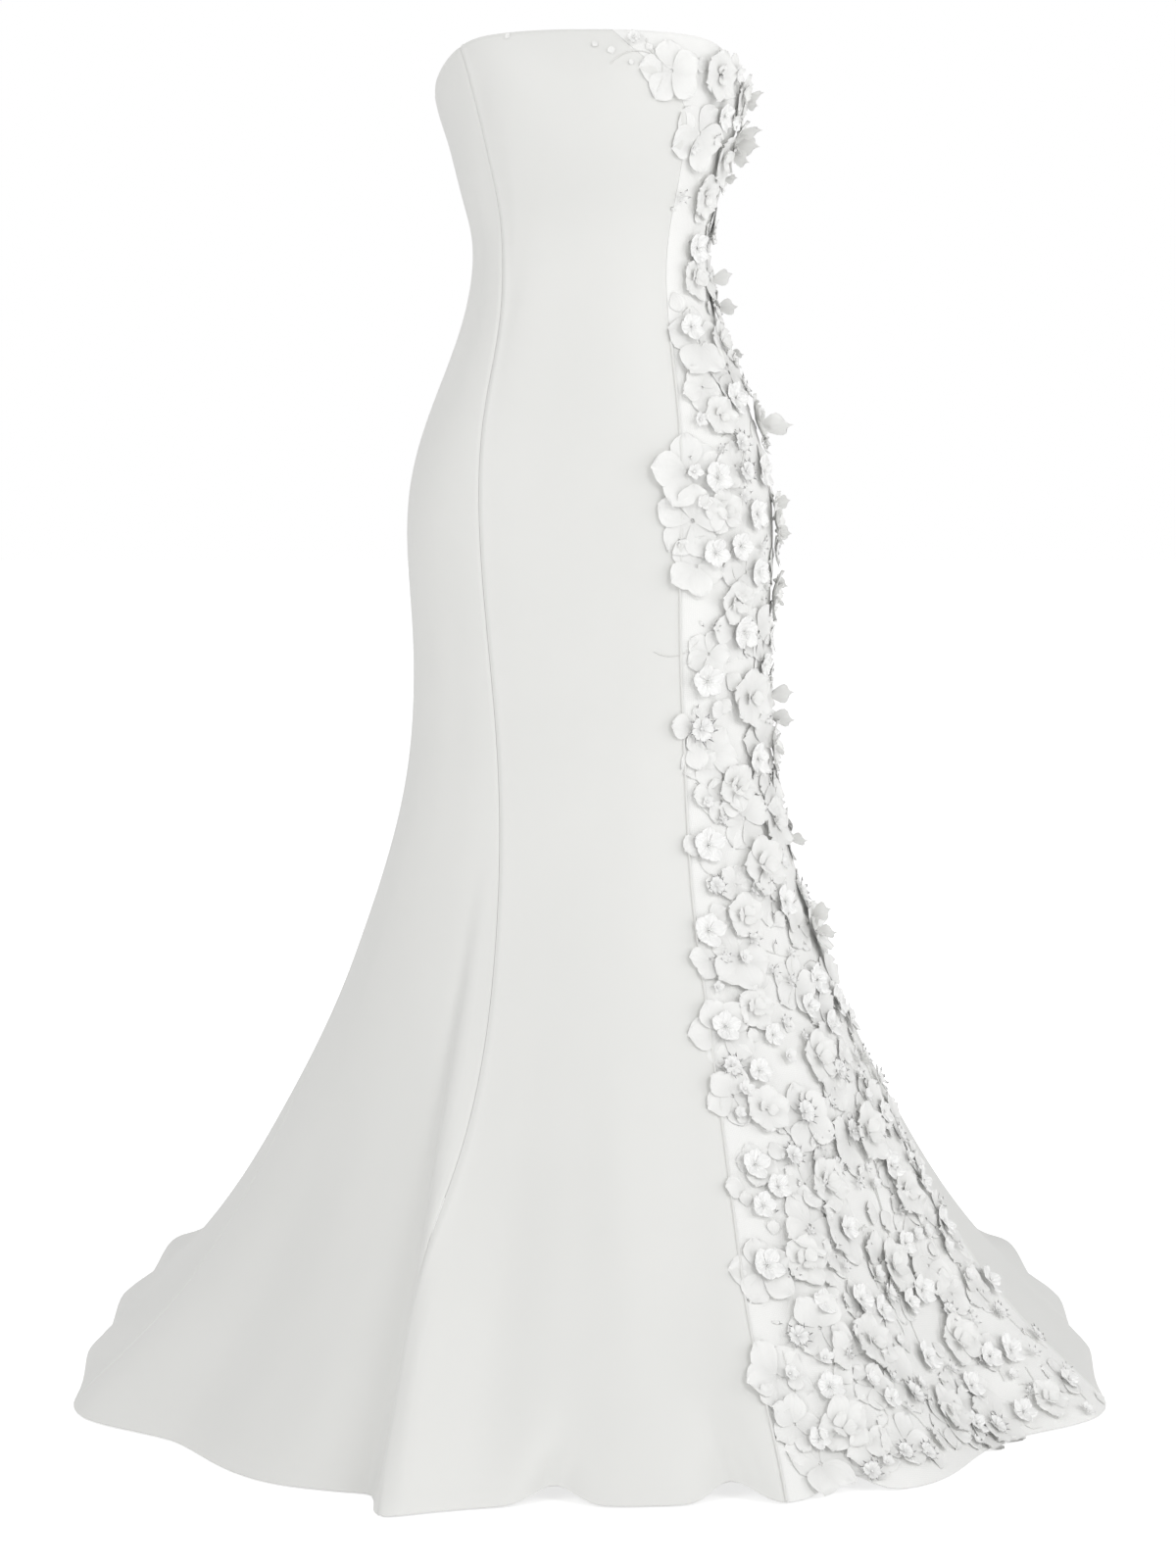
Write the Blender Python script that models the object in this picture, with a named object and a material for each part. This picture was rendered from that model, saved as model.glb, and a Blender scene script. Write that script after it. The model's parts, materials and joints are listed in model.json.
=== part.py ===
"""Strapless mermaid gown with a train, standing open as it is worn.

Front towards -Y, +X towards the wearer's left.  The origin is the middle of the waist, where the
wearer holds the gown up, and the floor lies WAIST_HEIGHT below it.  Every panel is a thin wall on one
surface, which the ring table describes.
"""

import math

import bmesh
import bpy
import numpy as np

WAIST_HEIGHT = 1.12
WALL = 0.0016
SEAM_GAP = 0.0003
SIDE_SEAM_Y = 0.010
FLOOR_CLEARANCE = 0.0004

# A row for each ring round the gown, from the neckline to the hem, in metres.  Heights are above the
# floor; rise is the share of the way from the waist up to the neckline.  Square pushes the corners out.
RING_COLUMNS = (
    "zFront", "zSide", "zBack", "rise", "halfWidth", "yFront", "ySide", "yBack",
    "squareFront", "squareBack", "frontSeam", "floralEdge", "backSeam",
)
RINGS = (
    (1.120, 1.120, 1.120, 1.00, 0.1490, -0.118, 0.000, 0.098, 0.030, 0.02, 0.1230, 0.020, 0.072),
    (1.120, 1.120, 1.120, 0.91, 0.1465, -0.124, 0.000, 0.097, 0.030, 0.02, 0.1180, 0.040, 0.070),
    (1.120, 1.120, 1.120, 0.81, 0.1415, -0.129, 0.000, 0.095, 0.028, 0.02, 0.1130, 0.068, 0.068),
    (1.120, 1.120, 1.120, 0.70, 0.1360, -0.132, 0.000, 0.093, 0.025, 0.02, 0.1080, 0.088, 0.065),
    (1.120, 1.120, 1.120, 0.58, 0.1312, -0.131, 0.000, 0.091, 0.022, 0.02, 0.1025, 0.092, 0.063),
    (1.120, 1.120, 1.120, 0.44, 0.1260, -0.124, 0.000, 0.089, 0.020, 0.02, 0.0970, 0.087, 0.060),
    (1.120, 1.120, 1.120, 0.28, 0.1195, -0.111, 0.000, 0.086, 0.018, 0.02, 0.0890, 0.082, 0.057),
    (1.120, 1.120, 1.120, 0.12, 0.1125, -0.099, 0.000, 0.083, 0.016, 0.02, 0.0840, 0.075, 0.055),
    (1.105, 1.105, 1.105, 0.00, 0.1118, -0.094, 0.000, 0.082, 0.015, 0.02, 0.0828, 0.071, 0.055),
    (1.060, 1.060, 1.060, 0.00, 0.1200, -0.098, 0.000, 0.088, 0.012, 0.02, 0.0840, 0.073, 0.060),
    (1.010, 1.010, 1.010, 0.00, 0.1380, -0.106, 0.000, 0.100, 0.010, 0.02, 0.0930, 0.079, 0.067),
    (0.955, 0.955, 0.955, 0.00, 0.1605, -0.112, 0.000, 0.113, 0.008, 0.02, 0.1030, 0.085, 0.073),
    (0.895, 0.895, 0.895, 0.00, 0.1765, -0.117, 0.000, 0.123, 0.006, 0.02, 0.1060, 0.0865, 0.077),
    (0.830, 0.830, 0.830, 0.00, 0.1770, -0.120, 0.000, 0.126, 0.005, 0.01, 0.1035, 0.085, 0.078),
    (0.760, 0.760, 0.760, 0.00, 0.1705, -0.122, 0.000, 0.122, 0.004, 0.00, 0.0975, 0.0845, 0.078),
    (0.690, 0.690, 0.690, 0.00, 0.1700, -0.125, 0.000, 0.118, 0.002, 0.00, 0.0905, 0.087, 0.078),
    (0.620, 0.620, 0.620, 0.00, 0.1760, -0.130, 0.002, 0.121, 0.000, 0.00, 0.0858, 0.090, 0.080),
    (0.555, 0.555, 0.550, 0.00, 0.1910, -0.140, 0.006, 0.138, 0.000, 0.00, 0.0850, 0.093, 0.084),
    (0.500, 0.500, 0.480, 0.00, 0.2085, -0.156, 0.013, 0.175, 0.000, 0.00, 0.0865, 0.097, 0.091),
    (0.445, 0.445, 0.410, 0.00, 0.2280, -0.177, 0.025, 0.228, 0.000, 0.00, 0.0895, 0.105, 0.101),
    (0.390, 0.390, 0.340, 0.00, 0.2500, -0.200, 0.040, 0.293, 0.002, 0.005, 0.0945, 0.112, 0.114),
    (0.335, 0.335, 0.275, 0.00, 0.2765, -0.226, 0.060, 0.370, 0.004, 0.01, 0.1030, 0.119, 0.130),
    (0.280, 0.280, 0.215, 0.00, 0.3060, -0.254, 0.085, 0.458, 0.006, 0.01, 0.1150, 0.125, 0.148),
    (0.225, 0.225, 0.160, 0.00, 0.3370, -0.284, 0.115, 0.560, 0.008, 0.015, 0.1310, 0.131, 0.168),
    (0.170, 0.172, 0.110, 0.00, 0.3715, -0.316, 0.150, 0.680, 0.010, 0.02, 0.1480, 0.137, 0.190),
    (0.115, 0.120, 0.068, 0.00, 0.4115, -0.349, 0.190, 0.820, 0.012, 0.03, 0.1590, 0.146, 0.213),
    (0.060, 0.070, 0.036, 0.00, 0.4550, -0.381, 0.235, 0.985, 0.014, 0.05, 0.1660, 0.159, 0.237),
    (0.025, 0.030, 0.012, 0.00, 0.4880, -0.400, 0.275, 1.165, 0.016, 0.065, 0.1700, 0.167, 0.260),
    (0.0025, 0.0035, 0.0030, 0.00, 0.5080, -0.412, 0.300, 1.350, 0.018, 0.08, 0.1720, 0.171, 0.280),
)

# Height of the neckline above the floor, in equal steps from the centre front to the centre back.
NECKLINE_STEP = 15.0
NECKLINE = (1.322, 1.322, 1.320, 1.317, 1.303, 1.287, 1.276, 1.262, 1.248, 1.236, 1.226, 1.219, 1.217)

# Soft folds that open towards the hem: where each starts and ends round the gown in degrees, how far it
# stands out and lifts at the hem, its width on either side, and the ring where it begins.
FOLD_COLUMNS = ("startAngle", "hemAngle", "out", "lift", "widthBefore", "widthAfter", "firstRing")
FOLDS = (
    (-30.0, -18.4, 0.050, 0.000, 2.2, 7.0, 17.0),
    (-34.0, -24.7, -0.010, 0.000, 6.0, 3.0, 18.0),
    (24.0, 17.5, 0.012, 0.000, 4.0, 3.0, 19.0),
    (34.0, 34.0, 0.012, 0.000, 7.0, 8.0, 20.0),
    (-2.0, -3.4, -0.024, 0.013, 2.6, 2.6, 25.0),
    (13.0, 13.7, -0.024, 0.015, 2.6, 2.6, 25.0),
    (26.0, 25.5, -0.016, 0.016, 2.8, 2.8, 25.0),
    (56.0, 54.0, -0.052, 0.000, 17.0, 10.0, 20.0),
    (-56.0, -54.0, -0.050, 0.000, 10.0, 18.0, 20.0),
    (68.0, 68.0, 0.022, 0.000, 6.0, 8.0, 25.0),
    (-68.0, -68.0, 0.022, 0.000, 8.0, 6.0, 25.0),
    (86.0, 84.0, 0.006, 0.013, 5.0, 5.0, 25.0),
    (98.0, 98.0, 0.006, 0.014, 5.0, 5.0, 25.0),
    (114.0, 114.0, 0.006, 0.015, 6.0, 6.0, 25.0),
    (131.0, 131.0, 0.006, 0.017, 6.5, 6.5, 25.0),
    (150.0, 150.0, 0.006, 0.015, 6.5, 6.5, 25.0),
    (168.0, 168.0, 0.006, 0.014, 5.5, 5.5, 25.0),
    (-85.0, -83.0, 0.006, 0.014, 5.0, 5.0, 25.0),
    (-99.0, -99.0, 0.006, 0.013, 5.0, 5.0, 25.0),
    (-115.0, -115.0, 0.006, 0.015, 6.0, 6.0, 25.0),
    (-132.0, -132.0, 0.006, 0.015, 6.5, 6.5, 25.0),
    (-149.0, -149.0, 0.006, 0.017, 6.5, 6.5, 25.0),
    (-167.0, -167.0, 0.006, 0.014, 5.5, 5.5, 25.0),
)

# Panels between two seams, with their columns and how far these bunch up towards the first seam.
PANELS = (
    ("center_front", "frontSeamRight", "floralEdge", 14, 1.0),
    ("side_front", "frontSeamRight", "sideSeamRight", 10, 1.6),
    ("side_back_right", "sideSeamRight", "backSeamRight", 15, 1.0),
    ("side_back_left", "sideSeamLeft", "backSeamLeft", 15, 1.0),
    ("center_back_right", "backSeamRight", "centreBackRight", 8, 1.0),
    ("center_back_left", "backSeamLeft", "centreBackLeft", 8, 1.0),
)

# Large flowers raised on the floral panel: ring, share of the way across it, radius, height and turn.
BLOOM_COLUMNS = ("ring", "across", "radius", "height", "turn")
BLOOMS = (
    (0.9, 0.80, 0.020, 0.011, 35.0),
    (1.4, 0.46, 0.024, 0.010, 10.0),
    (3.2, 0.88, 0.026, 0.014, 40.0),
    (4.4, 0.60, 0.025, 0.013, 75.0),
    (5.9, 0.40, 0.022, 0.010, 20.0),
    (8.2, 0.35, 0.021, 0.009, 55.0),
    (9.5, 0.62, 0.024, 0.012, 5.0),
    (10.8, 0.30, 0.020, 0.009, 30.0),
    (10.9, 0.88, 0.026, 0.014, 62.0),
    (12.3, 0.24, 0.021, 0.009, 15.0),
    (12.4, 0.84, 0.026, 0.014, 48.0),
    (13.6, 0.36, 0.022, 0.010, 80.0),
    (13.5, 0.90, 0.025, 0.014, 22.0),
    (14.9, 0.50, 0.029, 0.012, 66.0),
    (15.6, 0.88, 0.025, 0.014, 8.0),
    (16.1, 0.32, 0.023, 0.009, 36.0),
    (16.7, 0.66, 0.027, 0.013, 51.0),
    (17.3, 0.45, 0.029, 0.012, 18.0),
    (18.1, 0.26, 0.023, 0.010, 71.0),
    (18.5, 0.86, 0.028, 0.014, 33.0),
    (19.6, 0.22, 0.022, 0.009, 58.0),
    (20.5, 0.52, 0.026, 0.011, 3.0),
    (21.2, 0.18, 0.024, 0.010, 44.0),
    (21.9, 0.70, 0.030, 0.014, 68.0),
    (22.5, 0.38, 0.027, 0.011, 27.0),
    (23.0, 0.80, 0.026, 0.013, 12.0),
    (23.6, 0.20, 0.025, 0.010, 53.0),
    (24.1, 0.62, 0.028, 0.011, 77.0),
    (25.0, 0.34, 0.029, 0.011, 39.0),
    (25.6, 0.74, 0.027, 0.012, 6.0),
    (26.4, 0.16, 0.026, 0.010, 24.0),
    (26.7, 0.54, 0.027, 0.010, 60.0),
    (27.2, 0.84, 0.022, 0.009, 31.0),
)
PETALS = 5
PETAL_NOTCH = 0.14
BLOOM_RIM = 0.3
FLORAL_COLUMNS = 14
FLORAL_STEPS = 3

# Invisible zip at the centre back.
ZIP_END_RING = 13
TAPE_WIDTH = 0.011
TAPE_WALL = 0.0010
TAPE_HALF_GAP = 0.0016
ZIP_PARTING = 0.0012
PARTED_RINGS = 3
SLIDER_DROP = 0.010
SLIDER_BODY = (0.0070, 0.0022, 0.0095)
SLIDER_NECK_WIDTH = 0.0012
SLIDER_CLEARANCE = 0.0013
EYE_LIMB = 0.0010
EYE_HOLE = 0.0024
EYE_STAND_OFF = 0.0042
PULL_BAR = 0.0012
PULL_ARM = 0.0009
PULL_SLOT = (0.0026, 0.0040)
PULL_WIDTH = 0.0070
PULL_LENGTH = 0.0240
PULL_THICKNESS = 0.0011
PULL_END_STEP = 20

# Colour and roughness of each finish.
SATIN = ((0.86, 0.86, 0.83), 0.42)
FLORAL_TULLE = ((0.90, 0.90, 0.88), 0.60)
ZIP_TAPE = ((0.86, 0.86, 0.83), 0.70)
ZIP_ENAMEL = ((0.84, 0.84, 0.81), 0.30)

ANGLE_SAMPLES = np.radians(np.linspace(0.0, 180.0, 721))
STEP_ANGLE = 1e-4
STEP_RING = 1e-4
CREASE_ANGLE = math.radians(40.0)


def b_spline(rows, position):
    """A smooth uniform cubic B-spline through a table's rows, clamped at both ends."""
    rows = np.asarray(rows, dtype=float)
    first = 2.0 * rows[0] - rows[1]
    last = 2.0 * rows[-1] - rows[-2]
    padded = np.concatenate([[first], rows, [last], [2.0 * last - rows[-1]]])
    position = np.clip(np.asarray(position, dtype=float), 0.0, len(rows) - 1.0)
    whole = np.floor(position).astype(int)
    part = position - whole
    part = part.reshape(part.shape + (1,) * (rows.ndim - 1))
    return (
        (1.0 - part) ** 3 * padded[whole]
        + (3.0 * part**3 - 6.0 * part**2 + 4.0) * padded[whole + 1]
        + (-3.0 * part**3 + 3.0 * part**2 + 3.0 * part + 1.0) * padded[whole + 2]
        + part**3 * padded[whole + 3]
    ) / 6.0


def ring_at(position):
    """The ring table's named values at a ring number, which need not be whole."""
    return dict(zip(RING_COLUMNS, np.moveaxis(b_spline(RINGS, position), -1, 0)))


def smooth_step(value):
    value = np.clip(value, 0.0, 1.0)
    return value * value * (3.0 - 2.0 * value)


def base_point(angle, position):
    """A point of the gown's surface without its folds, at an angle from the front."""
    ring = ring_at(position)
    sine, cosine = np.sin(angle), np.cos(angle)
    front, back = (1.0 + cosine) / 2.0, (1.0 - cosine) / 2.0
    square = ring["squareFront"] * front + ring["squareBack"] * back
    x = ring["halfWidth"] * (sine + square * np.sin(3.0 * angle)) / (1.0 - square)
    depth = (ring["ySide"] - ring["yFront"]) * front + (ring["yBack"] - ring["ySide"]) * back
    y = ring["ySide"] - depth * (cosine - square * np.cos(3.0 * angle)) / (1.0 - square)
    level = ring["zSide"] * sine**2 + (ring["zFront"] * front + ring["zBack"] * back) * cosine**2
    neckline = b_spline(NECKLINE, np.degrees(np.abs(angle)) / NECKLINE_STEP)
    z = level + ring["rise"] * (neckline - WAIST_HEIGHT)
    return np.stack([x, y, z], axis=-1)


def fold_amounts(angle, position):
    """How far the folds push the surface out and up."""
    out = np.zeros(np.broadcast(angle, position).shape)
    lift = np.zeros_like(out)
    last_ring = len(RINGS) - 1
    for row in FOLDS:
        fold = dict(zip(FOLD_COLUMNS, row))
        share = smooth_step((position - fold["firstRing"]) / (last_ring - fold["firstRing"]))
        middle = fold["startAngle"] + (fold["hemAngle"] - fold["startAngle"]) * share
        away = np.degrees(angle) - middle
        width = np.where(away < 0.0, fold["widthBefore"], fold["widthAfter"])
        shape = share * np.exp(-((away / width) ** 2))
        out = out + fold["out"] * shape
        lift = lift + fold["lift"] * shape
    return out, lift


def surface_point(angle, position):
    """A point of the gown's outer surface, folds included, above the floor."""
    point = base_point(angle, position)
    ahead = base_point(angle + STEP_ANGLE, position)
    behind = base_point(angle - STEP_ANGLE, position)
    along = (ahead - behind)[..., :2]
    along = along / np.linalg.norm(along, axis=-1, keepdims=True)
    out, lift = fold_amounts(angle, position)
    point[..., 0] += along[..., 1] * out
    point[..., 1] -= along[..., 0] * out
    point[..., 2] += lift
    return point


def surface_normal(angle, position):
    """The direction that faces out of the cloth."""
    last_ring = len(RINGS) - 1
    above = np.clip(position - STEP_RING, 0.0, last_ring)
    below = np.clip(position + STEP_RING, 0.0, last_ring)
    across = surface_point(angle + STEP_ANGLE, position) - surface_point(angle - STEP_ANGLE, position)
    down = surface_point(angle, below) - surface_point(angle, above)
    normal = np.cross(down, across)
    return normal / np.linalg.norm(normal, axis=-1, keepdims=True)


def angle_of(position, coordinate, value):
    """The angle at which a ring reaches a given x on its back half or front half, or a given y."""
    samples = base_point(ANGLE_SAMPLES, np.full_like(ANGLE_SAMPLES, position))
    half = len(ANGLE_SAMPLES) // 2
    if coordinate == "y":
        return float(np.interp(value, samples[:, 1], ANGLE_SAMPLES))
    if coordinate == "frontX":
        return float(np.interp(value, samples[: half + 1, 0], ANGLE_SAMPLES[: half + 1]))
    return float(np.interp(value, samples[:half:-1, 0], ANGLE_SAMPLES[:half:-1]))


def seam_angles():
    """The angle of each seam at each whole ring."""
    seams = {}
    rings = range(len(RINGS))
    values = [ring_at(float(number)) for number in rings]
    front = np.array([angle_of(float(n), "frontX", values[n]["frontSeam"]) for n in rings])
    side = np.array([angle_of(float(n), "y", SIDE_SEAM_Y) for n in rings])
    back = np.array([angle_of(float(n), "backX", values[n]["backSeam"]) for n in rings])
    seams["frontSeamRight"] = -front
    seams["floralEdge"] = np.array(
        [angle_of(float(n), "frontX", values[n]["floralEdge"]) for n in rings]
    )
    seams["sideSeamRight"], seams["sideSeamLeft"] = -side, side
    seams["backSeamRight"], seams["backSeamLeft"] = -back, back
    seams["centreBackRight"] = np.full(len(RINGS), -math.pi)
    seams["centreBackLeft"] = np.full(len(RINGS), math.pi)
    return seams


def wall_points(first, second, columns, bunch):
    """Outer and inner points of the wall between two seams, ring by ring."""
    share = (np.arange(columns + 1) / columns) ** bunch
    angle = first[:, None] + (second - first)[:, None] * share[None, :]
    position = np.broadcast_to(np.arange(len(RINGS), dtype=float)[:, None], angle.shape)
    outer = surface_point(angle, position)
    normal = surface_normal(angle, position)
    inner = outer - WALL * normal
    outer[..., 2] = np.maximum(outer[..., 2], WALL + FLOOR_CLEARANCE)
    inner[..., 2] = np.maximum(inner[..., 2], FLOOR_CLEARANCE)
    outer[..., 2] -= WAIST_HEIGHT
    inner[..., 2] -= WAIST_HEIGHT
    return outer, inner, normal


def trim_edge(points, edge, neighbour, amounts):
    """Draws a panel's edge column back from its seam line."""
    across = points[:, neighbour] - points[:, edge]
    across = across / np.linalg.norm(across, axis=1, keepdims=True)
    points[:, edge] += across * amounts[:, None]


def trim_panel(outer, inner, opening=None):
    """Leaves half the seam gap at both edges, and more along a zip's parting at the second edge."""
    half_gap = np.full(len(RINGS), SEAM_GAP / 2.0)
    for points in (outer, inner):
        trim_edge(points, 0, 1, half_gap)
        trim_edge(points, -1, -2, half_gap if opening is None else opening)


def build_object(name, vertices, faces, colour, roughness):
    """A named object with its own material, in the row's frame."""
    mesh = bpy.data.meshes.new(name)
    mesh.from_pydata([tuple(map(float, vertex)) for vertex in vertices], [], faces)
    mesh.validate()
    work = bmesh.new()
    work.from_mesh(mesh)
    bmesh.ops.recalc_face_normals(work, faces=work.faces)
    bmesh.ops.triangulate(work, faces=work.faces)
    work.to_mesh(mesh)
    work.free()
    mesh.shade_smooth()
    mesh.set_sharp_from_angle(angle=CREASE_ANGLE)
    material = bpy.data.materials.new(name)
    material.use_nodes = True
    shader = material.node_tree.nodes["Principled BSDF"]
    shader.inputs["Base Color"].default_value = (*colour, 1.0)
    shader.inputs["Roughness"].default_value = roughness
    shader.inputs["Metallic"].default_value = 0.0
    mesh.materials.append(material)
    thing = bpy.data.objects.new(name, mesh)
    bpy.context.scene.collection.objects.link(thing)
    return thing


def wall_mesh(outer, inner):
    """Vertices and faces of a closed wall between two grids of the same size."""
    rows, columns = outer.shape[:2]
    size = rows * columns
    vertices = np.concatenate([outer.reshape(size, 3), inner.reshape(size, 3)])
    faces = []
    for row in range(rows - 1):
        for column in range(columns - 1):
            corner = row * columns + column
            quad = (corner, corner + 1, corner + columns + 1, corner + columns)
            faces.append(quad)
            faces.append(tuple(size + index for index in reversed(quad)))
    border = [column for column in range(columns)]
    border += [row * columns + columns - 1 for row in range(1, rows)]
    border += [(rows - 1) * columns + column for column in range(columns - 2, -1, -1)]
    border += [row * columns for row in range(rows - 2, 0, -1)]
    for here, there in zip(border, border[1:] + border[:1]):
        faces.append((there, here, size + here, size + there))
    return vertices, faces


def bloom_centres(first, second):
    """Where each large flower sits on the floral panel, with its facing direction."""
    centres = []
    rings = np.arange(len(RINGS), dtype=float)
    for row in BLOOMS:
        bloom = dict(zip(BLOOM_COLUMNS, row))
        start = np.interp(bloom["ring"], rings, first)
        end = np.interp(bloom["ring"], rings, second)
        angle = np.array(start + (end - start) * bloom["across"])
        bloom["point"] = surface_point(angle, np.array(bloom["ring"]))
        bloom["point"][2] -= WAIST_HEIGHT
        bloom["normal"] = surface_normal(angle, np.array(bloom["ring"]))
        centres.append(bloom)
    return centres


def bloom_relief(point, blooms):
    """How far the flowers raise the outer surface at a point: domes with scalloped edges."""
    height = 0.0
    for bloom in blooms:
        away = point - bloom["point"]
        away = away - bloom["normal"] * float(away @ bloom["normal"])
        distance = float(np.linalg.norm(away))
        if distance > bloom["radius"]:
            continue
        turn = math.atan2(away[2], away[0] - away[1]) + math.radians(bloom["turn"])
        reach = bloom["radius"] * (1.0 - PETAL_NOTCH + PETAL_NOTCH * math.cos(PETALS * turn))
        share = min(distance / reach, 1.0)
        dish = 1.0 - BLOOM_RIM + BLOOM_RIM * share
        height = max(height, bloom["height"] * (1.0 - share**4) * dish)
    return height


def refine(grid, steps):
    """Adds rows by straight lines between rings, so the edges still follow the neighbouring panels."""
    rows = []
    for upper, lower in zip(grid[:-1], grid[1:]):
        rows += [upper + (lower - upper) * step / steps for step in range(steps)]
    return np.array(rows + [grid[-1]])


def floral_mesh(seams):
    """The floral panel: flowers raised in the outer points over a plain inside."""
    first, second = seams["floralEdge"], seams["sideSeamLeft"]
    coarse_outer, inner, normal = wall_points(first, second, FLORAL_COLUMNS, 1.0)
    trim_panel(coarse_outer, inner)
    blooms = bloom_centres(first, second)
    outer = refine(coarse_outer, FLORAL_STEPS)
    normal = refine(normal, FLORAL_STEPS)
    for row in range(1, outer.shape[0] - 1):
        for column in range(1, FLORAL_COLUMNS):
            raised = bloom_relief(outer[row, column], blooms)
            outer[row, column] += normal[row, column] * raised
    rows, columns = outer.shape[:2]
    size = rows * columns
    rings = inner.shape[0]
    vertices = np.concatenate([outer.reshape(size, 3), inner.reshape(rings * columns, 3)])
    faces = []
    for row in range(rows - 1):
        for column in range(columns - 1):
            corner = row * columns + column
            faces.append((corner, corner + 1, corner + columns + 1, corner + columns))
    for ring in range(rings - 1):
        for column in range(columns - 1):
            corner = size + ring * columns + column
            faces.append((corner, corner + columns, corner + columns + 1, corner + 1))
    for outer_row, inner_ring in ((0, 0), (rows - 1, rings - 1)):
        for column in range(columns - 1):
            above = outer_row * columns + column
            below = size + inner_ring * columns + column
            faces.append((above, above + 1, below + 1, below))
    for column in (0, columns - 1):
        for ring in range(rings - 1):
            upper = size + ring * columns + column
            lower = upper + columns
            first_row = ring * FLORAL_STEPS
            steps = [(first_row + step) * columns + column for step in range(FLORAL_STEPS + 1)]
            middle = FLORAL_STEPS // 2
            for step in range(FLORAL_STEPS):
                faces.append((steps[step], steps[step + 1], upper if step <= middle else lower))
            faces.append((steps[middle + 1], lower, upper))
    return vertices, faces


def build_panels(seams):
    zip_opening = np.full(len(RINGS), SEAM_GAP / 2.0)
    zip_opening[:PARTED_RINGS] = ZIP_PARTING
    for name, first, second, columns, bunch in PANELS:
        outer, inner, _ = wall_points(seams[first], seams[second], columns, bunch)
        trim_panel(outer, inner, zip_opening if name.startswith("center_back") else None)
        build_object(name, *wall_mesh(outer, inner), *SATIN)
    build_object("side_front_floral", *floral_mesh(seams), *FLORAL_TULLE)


def box_points(low, high):
    return [(x, y, z) for z in (low[2], high[2]) for y in (low[1], high[1]) for x in (low[0], high[0])]


BOX_FACES = [(0, 2, 3, 1), (4, 5, 7, 6), (0, 1, 5, 4), (2, 6, 7, 3), (0, 4, 6, 2), (1, 3, 7, 5)]


def join_solids(name, solids, colour, roughness):
    """Unions closed boxes and plates into one body."""
    base = None
    for number, (vertices, faces) in enumerate(solids):
        piece = build_object(f"{name}_piece_{number}", vertices, faces, colour, roughness)
        if base is None:
            base = piece
            continue
        union = base.modifiers.new("join", "BOOLEAN")
        union.operation = "UNION"
        union.object = piece
        with bpy.context.temp_override(object=base, active_object=base):
            bpy.ops.object.modifier_apply(modifier=union.name)
        bpy.data.objects.remove(piece)
    base.name = name
    base.data.name = name
    base.data.materials[0].name = name
    return base


def build_zip_tapes():
    """Two flat tapes behind the centre back panels' edges."""
    for name, side in (("zip_tape_right", -1.0), ("zip_tape_left", 1.0)):
        rings = np.arange(0, ZIP_END_RING + 1, dtype=float)
        inset = WALL + SEAM_GAP
        layers = []
        for depth in (inset, inset + TAPE_WALL):
            edges = []
            for x in (TAPE_HALF_GAP, TAPE_HALF_GAP + TAPE_WIDTH):
                angle = np.array([angle_of(number, "backX", x) for number in rings])
                points = surface_point(angle, rings) - surface_normal(angle, rings) * depth
                points[:, 2] -= WAIST_HEIGHT
                points[:, 0] *= side
                edges.append(points)
            layers.append(np.stack(edges, axis=1))
        build_object(name, *wall_mesh(*layers), *ZIP_TAPE)


def eye_axis():
    """The middle of the slider's eye, which the pull tab turns about."""
    top = surface_point(np.array(math.pi), np.array(0.0))
    slope = surface_point(np.array(math.pi), np.array(1.0))
    share = SLIDER_DROP / (top[2] - slope[2])
    on_cloth = top + (slope - top) * share
    return on_cloth + np.array([0.0, EYE_STAND_OFF, -WAIST_HEIGHT])


def build_slider(axis):
    """A body behind the tapes, a neck through the parting, and an eye outside for the pull tab."""
    width, thickness, height = SLIDER_BODY
    reach = EYE_HOLE / 2.0 + EYE_LIMB
    body_front = axis[1] - EYE_STAND_OFF - WALL - SEAM_GAP - TAPE_WALL - SLIDER_CLEARANCE
    half_eye = SLIDER_NECK_WIDTH / 2.0
    body = (
        (-width / 2.0, body_front - thickness, axis[2] - height / 2.0),
        (width / 2.0, body_front, axis[2] + height / 2.0),
    )
    neck = (
        (-half_eye, body_front - thickness / 2.0, axis[2] - reach),
        (half_eye, axis[1] - EYE_HOLE / 2.0, axis[2] + reach),
    )
    hole = EYE_HOLE / 2.0
    low, high = axis[2] - reach, axis[2] + reach
    near, far = axis[1] - reach, axis[1] + reach
    limbs = [
        ((-half_eye, axis[1] + hole, low), (half_eye, far, high)),
        ((-half_eye, near, low), (half_eye, far, axis[2] - hole)),
        ((-half_eye, near, axis[2] + hole), (half_eye, far, high)),
    ]
    solids = [(box_points(*box), BOX_FACES) for box in (body, neck, *limbs)]
    join_solids("zip_slider", solids, *ZIP_ENAMEL)


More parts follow.
